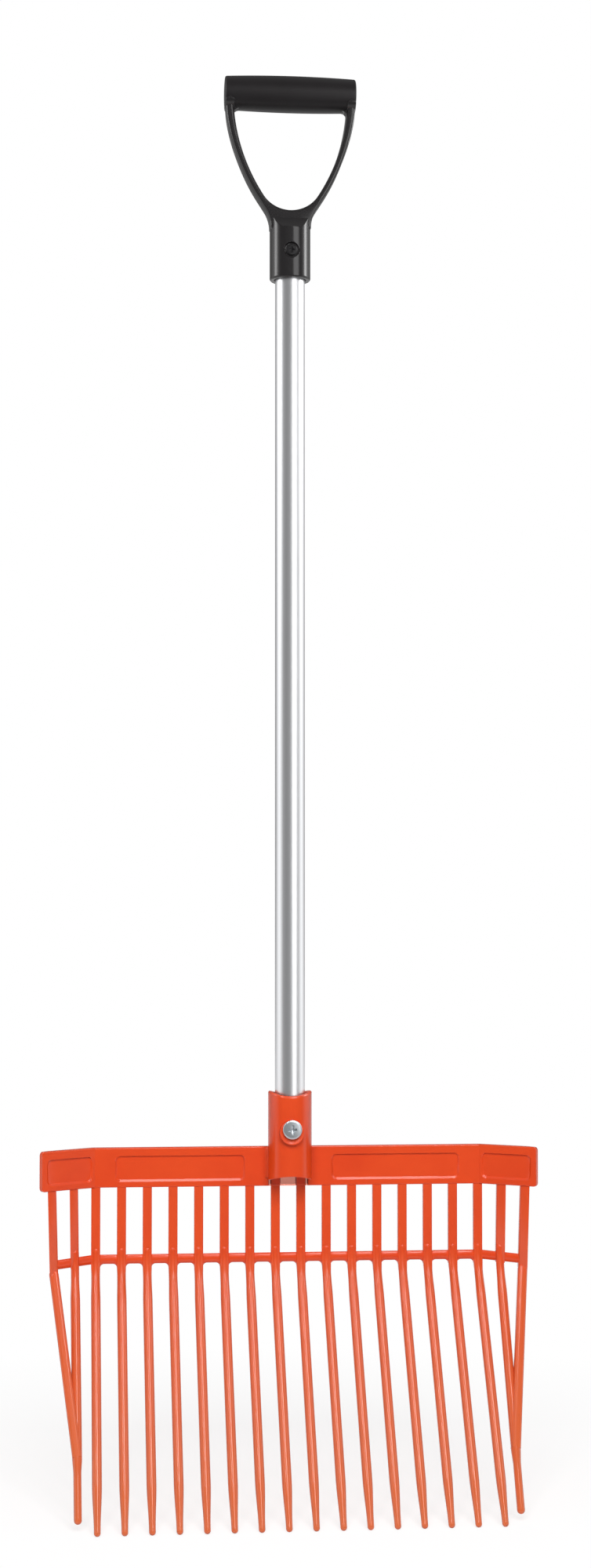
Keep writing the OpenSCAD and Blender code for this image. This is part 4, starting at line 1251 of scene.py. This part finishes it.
def studio_world():
    """Soft light from all round. Camera rays and rays through thin plastic see it white. Mirror rays see it
    bright at the sides, and dim in front, overhead and straight behind, so that the metal shows dark
    bands."""
    world = bpy.data.worlds.new("studio")
    bpy.context.scene.world = world
    world.use_nodes = True
    tree = world.node_tree
    tree.nodes.clear()
    ray = node(tree, "LightPath")
    direction = node(tree, "SeparateXYZ", {0: node(tree, "TexCoord").outputs["Generated"]})
    backward = direction.outputs["Y"]
    upward = direction.outputs["Z"]
    glow = node(tree, "MapRange", {"Value": backward, "From Min": -1.0, "From Max": 1.0,
                                   "To Min": FRONT_GLOW, "To Max": BACK_GLOW})
    # The mirrored sides begin a little in front of the fork, and fade towards the back and overhead.
    beside = node(tree, "MapRange", {"Value": backward, "From Min": -0.45, "From Max": -0.1})
    behind = node(tree, "MapRange", {"Value": backward, "From Min": 0.2, "From Max": 0.75,
                                     "To Min": 1.0, "To Max": 0.1})
    above = node(tree, "MapRange", {"Value": upward, "From Min": 0.5, "From Max": 0.85,
                                    "To Min": 1.0, "To Max": 0.2})
    level_sides = node(tree, "Math", {0: beside, 1: behind}, operation="MULTIPLY")
    sides = node(tree, "Math", {0: level_sides, 1: above}, operation="MULTIPLY")
    in_mirror = node(tree, "Math", {0: ray.outputs["Is Glossy Ray"], 1: sides}, operation="MULTIPLY")
    mirrored_glow = node(tree, "Mix", {0: in_mirror, 2: glow, 3: SIDE_GLOW})
    white = node(tree, "Math", {0: ray.outputs["Is Camera Ray"], 1: ray.outputs["Is Transmission Ray"]},
                 operation="MAXIMUM")
    level = node(tree, "Mix", {0: white, 2: mirrored_glow, 3: 1.0})
    back = node(tree, "Background", {"Color": (1, 1, 1, 1), "Strength": level})
    node(tree, "OutputWorld", {"Surface": back})


def pale_floor(finishes):
    """Pale matt floor: camera rays see most of it as white, which keeps a soft share of its shadows near the
    fork. Mirror rays and rays through thin plastic see it so too."""
    material, tree = start_material("pale_matt_floor")
    # A faint mottle, about 150 mm across.
    mottle = 150 * MM
    # Distances from the shaft's line within which a quarter of the shadows shows, and past which none does.
    shaded, clear = 0.25, 0.7
    place = node(tree, "TexCoord").outputs["Object"]
    clouds = node(tree, "TexNoise", {"Vector": place, "Scale": 1 / mottle, "Detail": 2.0})
    rough = node(tree, "MapRange", {"Value": clouds, "To Min": 0.8, "To Max": 0.9})
    matt = node(tree, "BsdfDiffuse", {"Color": finishes.floor, "Roughness": rough})
    white = node(tree, "Emission", {"Color": (1, 1, 1, 1), "Strength": 1.0})
    ray = node(tree, "LightPath")
    mirror = node(tree, "Math", {0: ray.outputs["Is Glossy Ray"], 1: ray.outputs["Is Transmission Ray"]},
                  operation="MAXIMUM")
    seen = node(tree, "Math", {0: ray.outputs["Is Camera Ray"], 1: mirror}, operation="MAXIMUM")
    away = node(tree, "VectorMath", {0: place, 1: (0, 0, TIP_Z)}, operation="DISTANCE")
    fade = node(tree, "MapRange", {"Value": away.outputs["Value"], "From Min": shaded, "From Max": clear,
                                   "To Min": 0.75, "To Max": 1.0})
    share = node(tree, "Math", {0: seen, 1: fade}, operation="MULTIPLY")
    shader = node(tree, "MixShader", {0: share, 1: matt, 2: white})
    finish_material(tree, shader)
    return material


class FORK_OT_stage(bpy.types.Operator):
    """Sets the floor, the lamps, the world and the camera"""
    bl_idname = "fork.stage"
    bl_label = "Stage"

    def execute(self, context):
        scene = context.scene
        # The floor ends close in front of the tips and far behind them.
        half, front, back = 3.0, -0.45, 5.0
        corners = [(-half, front, TIP_Z), (half, front, TIP_Z), (half, back, TIP_Z), (-half, back, TIP_Z)]
        mesh = bpy.data.meshes.new("floor")
        mesh.from_pydata(corners, [], [(0, 1, 2, 3)])
        mesh.materials.append(pale_floor(scene.fork_finishes))
        floor = bpy.data.objects.new("floor", mesh)
        scene.collection.objects.link(floor)

        # Two broad lamps light the fork and don't show in its gloss. The others show in its gloss alone.
        middle = Vector((0, 0, TIP_Z / 2))
        low = Vector((0, 0, TIP_Z + 0.5))
        head = Vector((0, 0, TIP_Z + 0.2))
        grip = Vector((0, 0, TUBE_HIGH.z))
        upright = (0, 0, 1)
        backward = (0, 1, 0)
        softbox("key", around(-2, 2.0, TIP_Z + 1.6), low, upright, (1.5, 1.3), 8.0, in_gloss=False)
        softbox("back_fill", around(178, 2.2, TIP_Z + 1.4), low, upright, (1.5, 1.3), 5.0, in_gloss=False)
        softbox("left_strip", around(-92, 1.5, TIP_Z + 1.6), grip, upright, (0.5, 0.85), 4.5)
        softbox("right_strip", around(92, 1.5, TIP_Z + 1.6), grip, upright, (0.5, 0.85), 7.0)
        softbox("front_strip", around(30, 1.7, TIP_Z + 0.95), middle, upright, (0.85, 1.9), 2.6,
                pieces=HANDLE + ["head_bolt"])
        softbox("front_high", around(14, 1.7, TIP_Z + 2.3), head, upright, (0.4, 0.9), 10.0, pieces=HEAD)
        softbox("overhead_left", Vector((-0.96, -1.15, TIP_Z + 2.2)), head, backward, (0.16, 0.8), 19.0,
                pieces=HEAD)
        softbox("overhead_right", Vector((0.62, -1.15, TIP_Z + 2.2)), head, backward, (0.13, 0.8), 14.0,
                pieces=HEAD)
        softbox("overhead_board", Vector((0, -0.36, TIP_Z + 2.1)), head, backward, (0.9, 0.3), 9.0,
                pieces=HEAD)
        studio_world()
        scene.view_settings.view_transform = "Standard"

        # The camera is the one that was fitted to the photograph.
        camera = bpy.data.cameras.new("camera")
        camera.sensor_width = 36.0
        camera.lens = 57.1
        viewer = bpy.data.objects.new("camera", camera)
        viewer.location = (-0.1971, -2.1082, TIP_Z + 0.5117)
        viewer.rotation_euler = (math.radians(92.42), 0.0, math.radians(-5.47))
        scene.collection.objects.link(viewer)
        scene.camera = viewer
        return {"FINISHED"}


OPERATORS = (FORK_OT_tines, FORK_OT_wings, FORK_OT_rail, FORK_OT_board, FORK_OT_socket, FORK_OT_fasteners,
             FORK_OT_tube, FORK_OT_grip, FORK_OT_screw, FORK_OT_stage)
GROUPS = {"fork_head": HeadSizes, "fork_socket": SocketSizes, "fork_grip": GripSizes,
          "fork_finishes": Finishes}


class FORK_PT_panel(bpy.types.Panel):
    """Lists the fork's sizes, colours and building steps"""
    bl_idname = "FORK_PT_panel"
    bl_label = "Manure fork"
    bl_space_type = "VIEW_3D"
    bl_region_type = "UI"
    bl_category = "Fork"

    def draw(self, context):
        for name, group in GROUPS.items():
            box = self.layout.box()
            box.label(text=group.__doc__)
            for prop in group.__annotations__:
                box.prop(getattr(context.scene, name), prop)
        for operator in OPERATORS:
            self.layout.operator(operator.bl_idname)


CLASSES = (*GROUPS.values(), *OPERATORS, FORK_PT_panel)


def register():
    for cls in CLASSES:
        bpy.utils.register_class(cls)
    for name, group in GROUPS.items():
        setattr(bpy.types.Scene, name, bpy.props.PointerProperty(type=group))


def unregister():
    for name in GROUPS:
        delattr(bpy.types.Scene, name)
    for cls in reversed(CLASSES):
        bpy.utils.unregister_class(cls)


def main():
    register()
    bpy.ops.fork.tines()
    bpy.ops.fork.wings()
    bpy.ops.fork.rail()
    bpy.ops.fork.board()
    bpy.ops.fork.socket()
    bpy.ops.fork.fasteners()
    bpy.ops.fork.tube()
    bpy.ops.fork.grip()
    bpy.ops.fork.screw()
    bpy.ops.fork.stage()


if __name__ == "__main__":
    main()
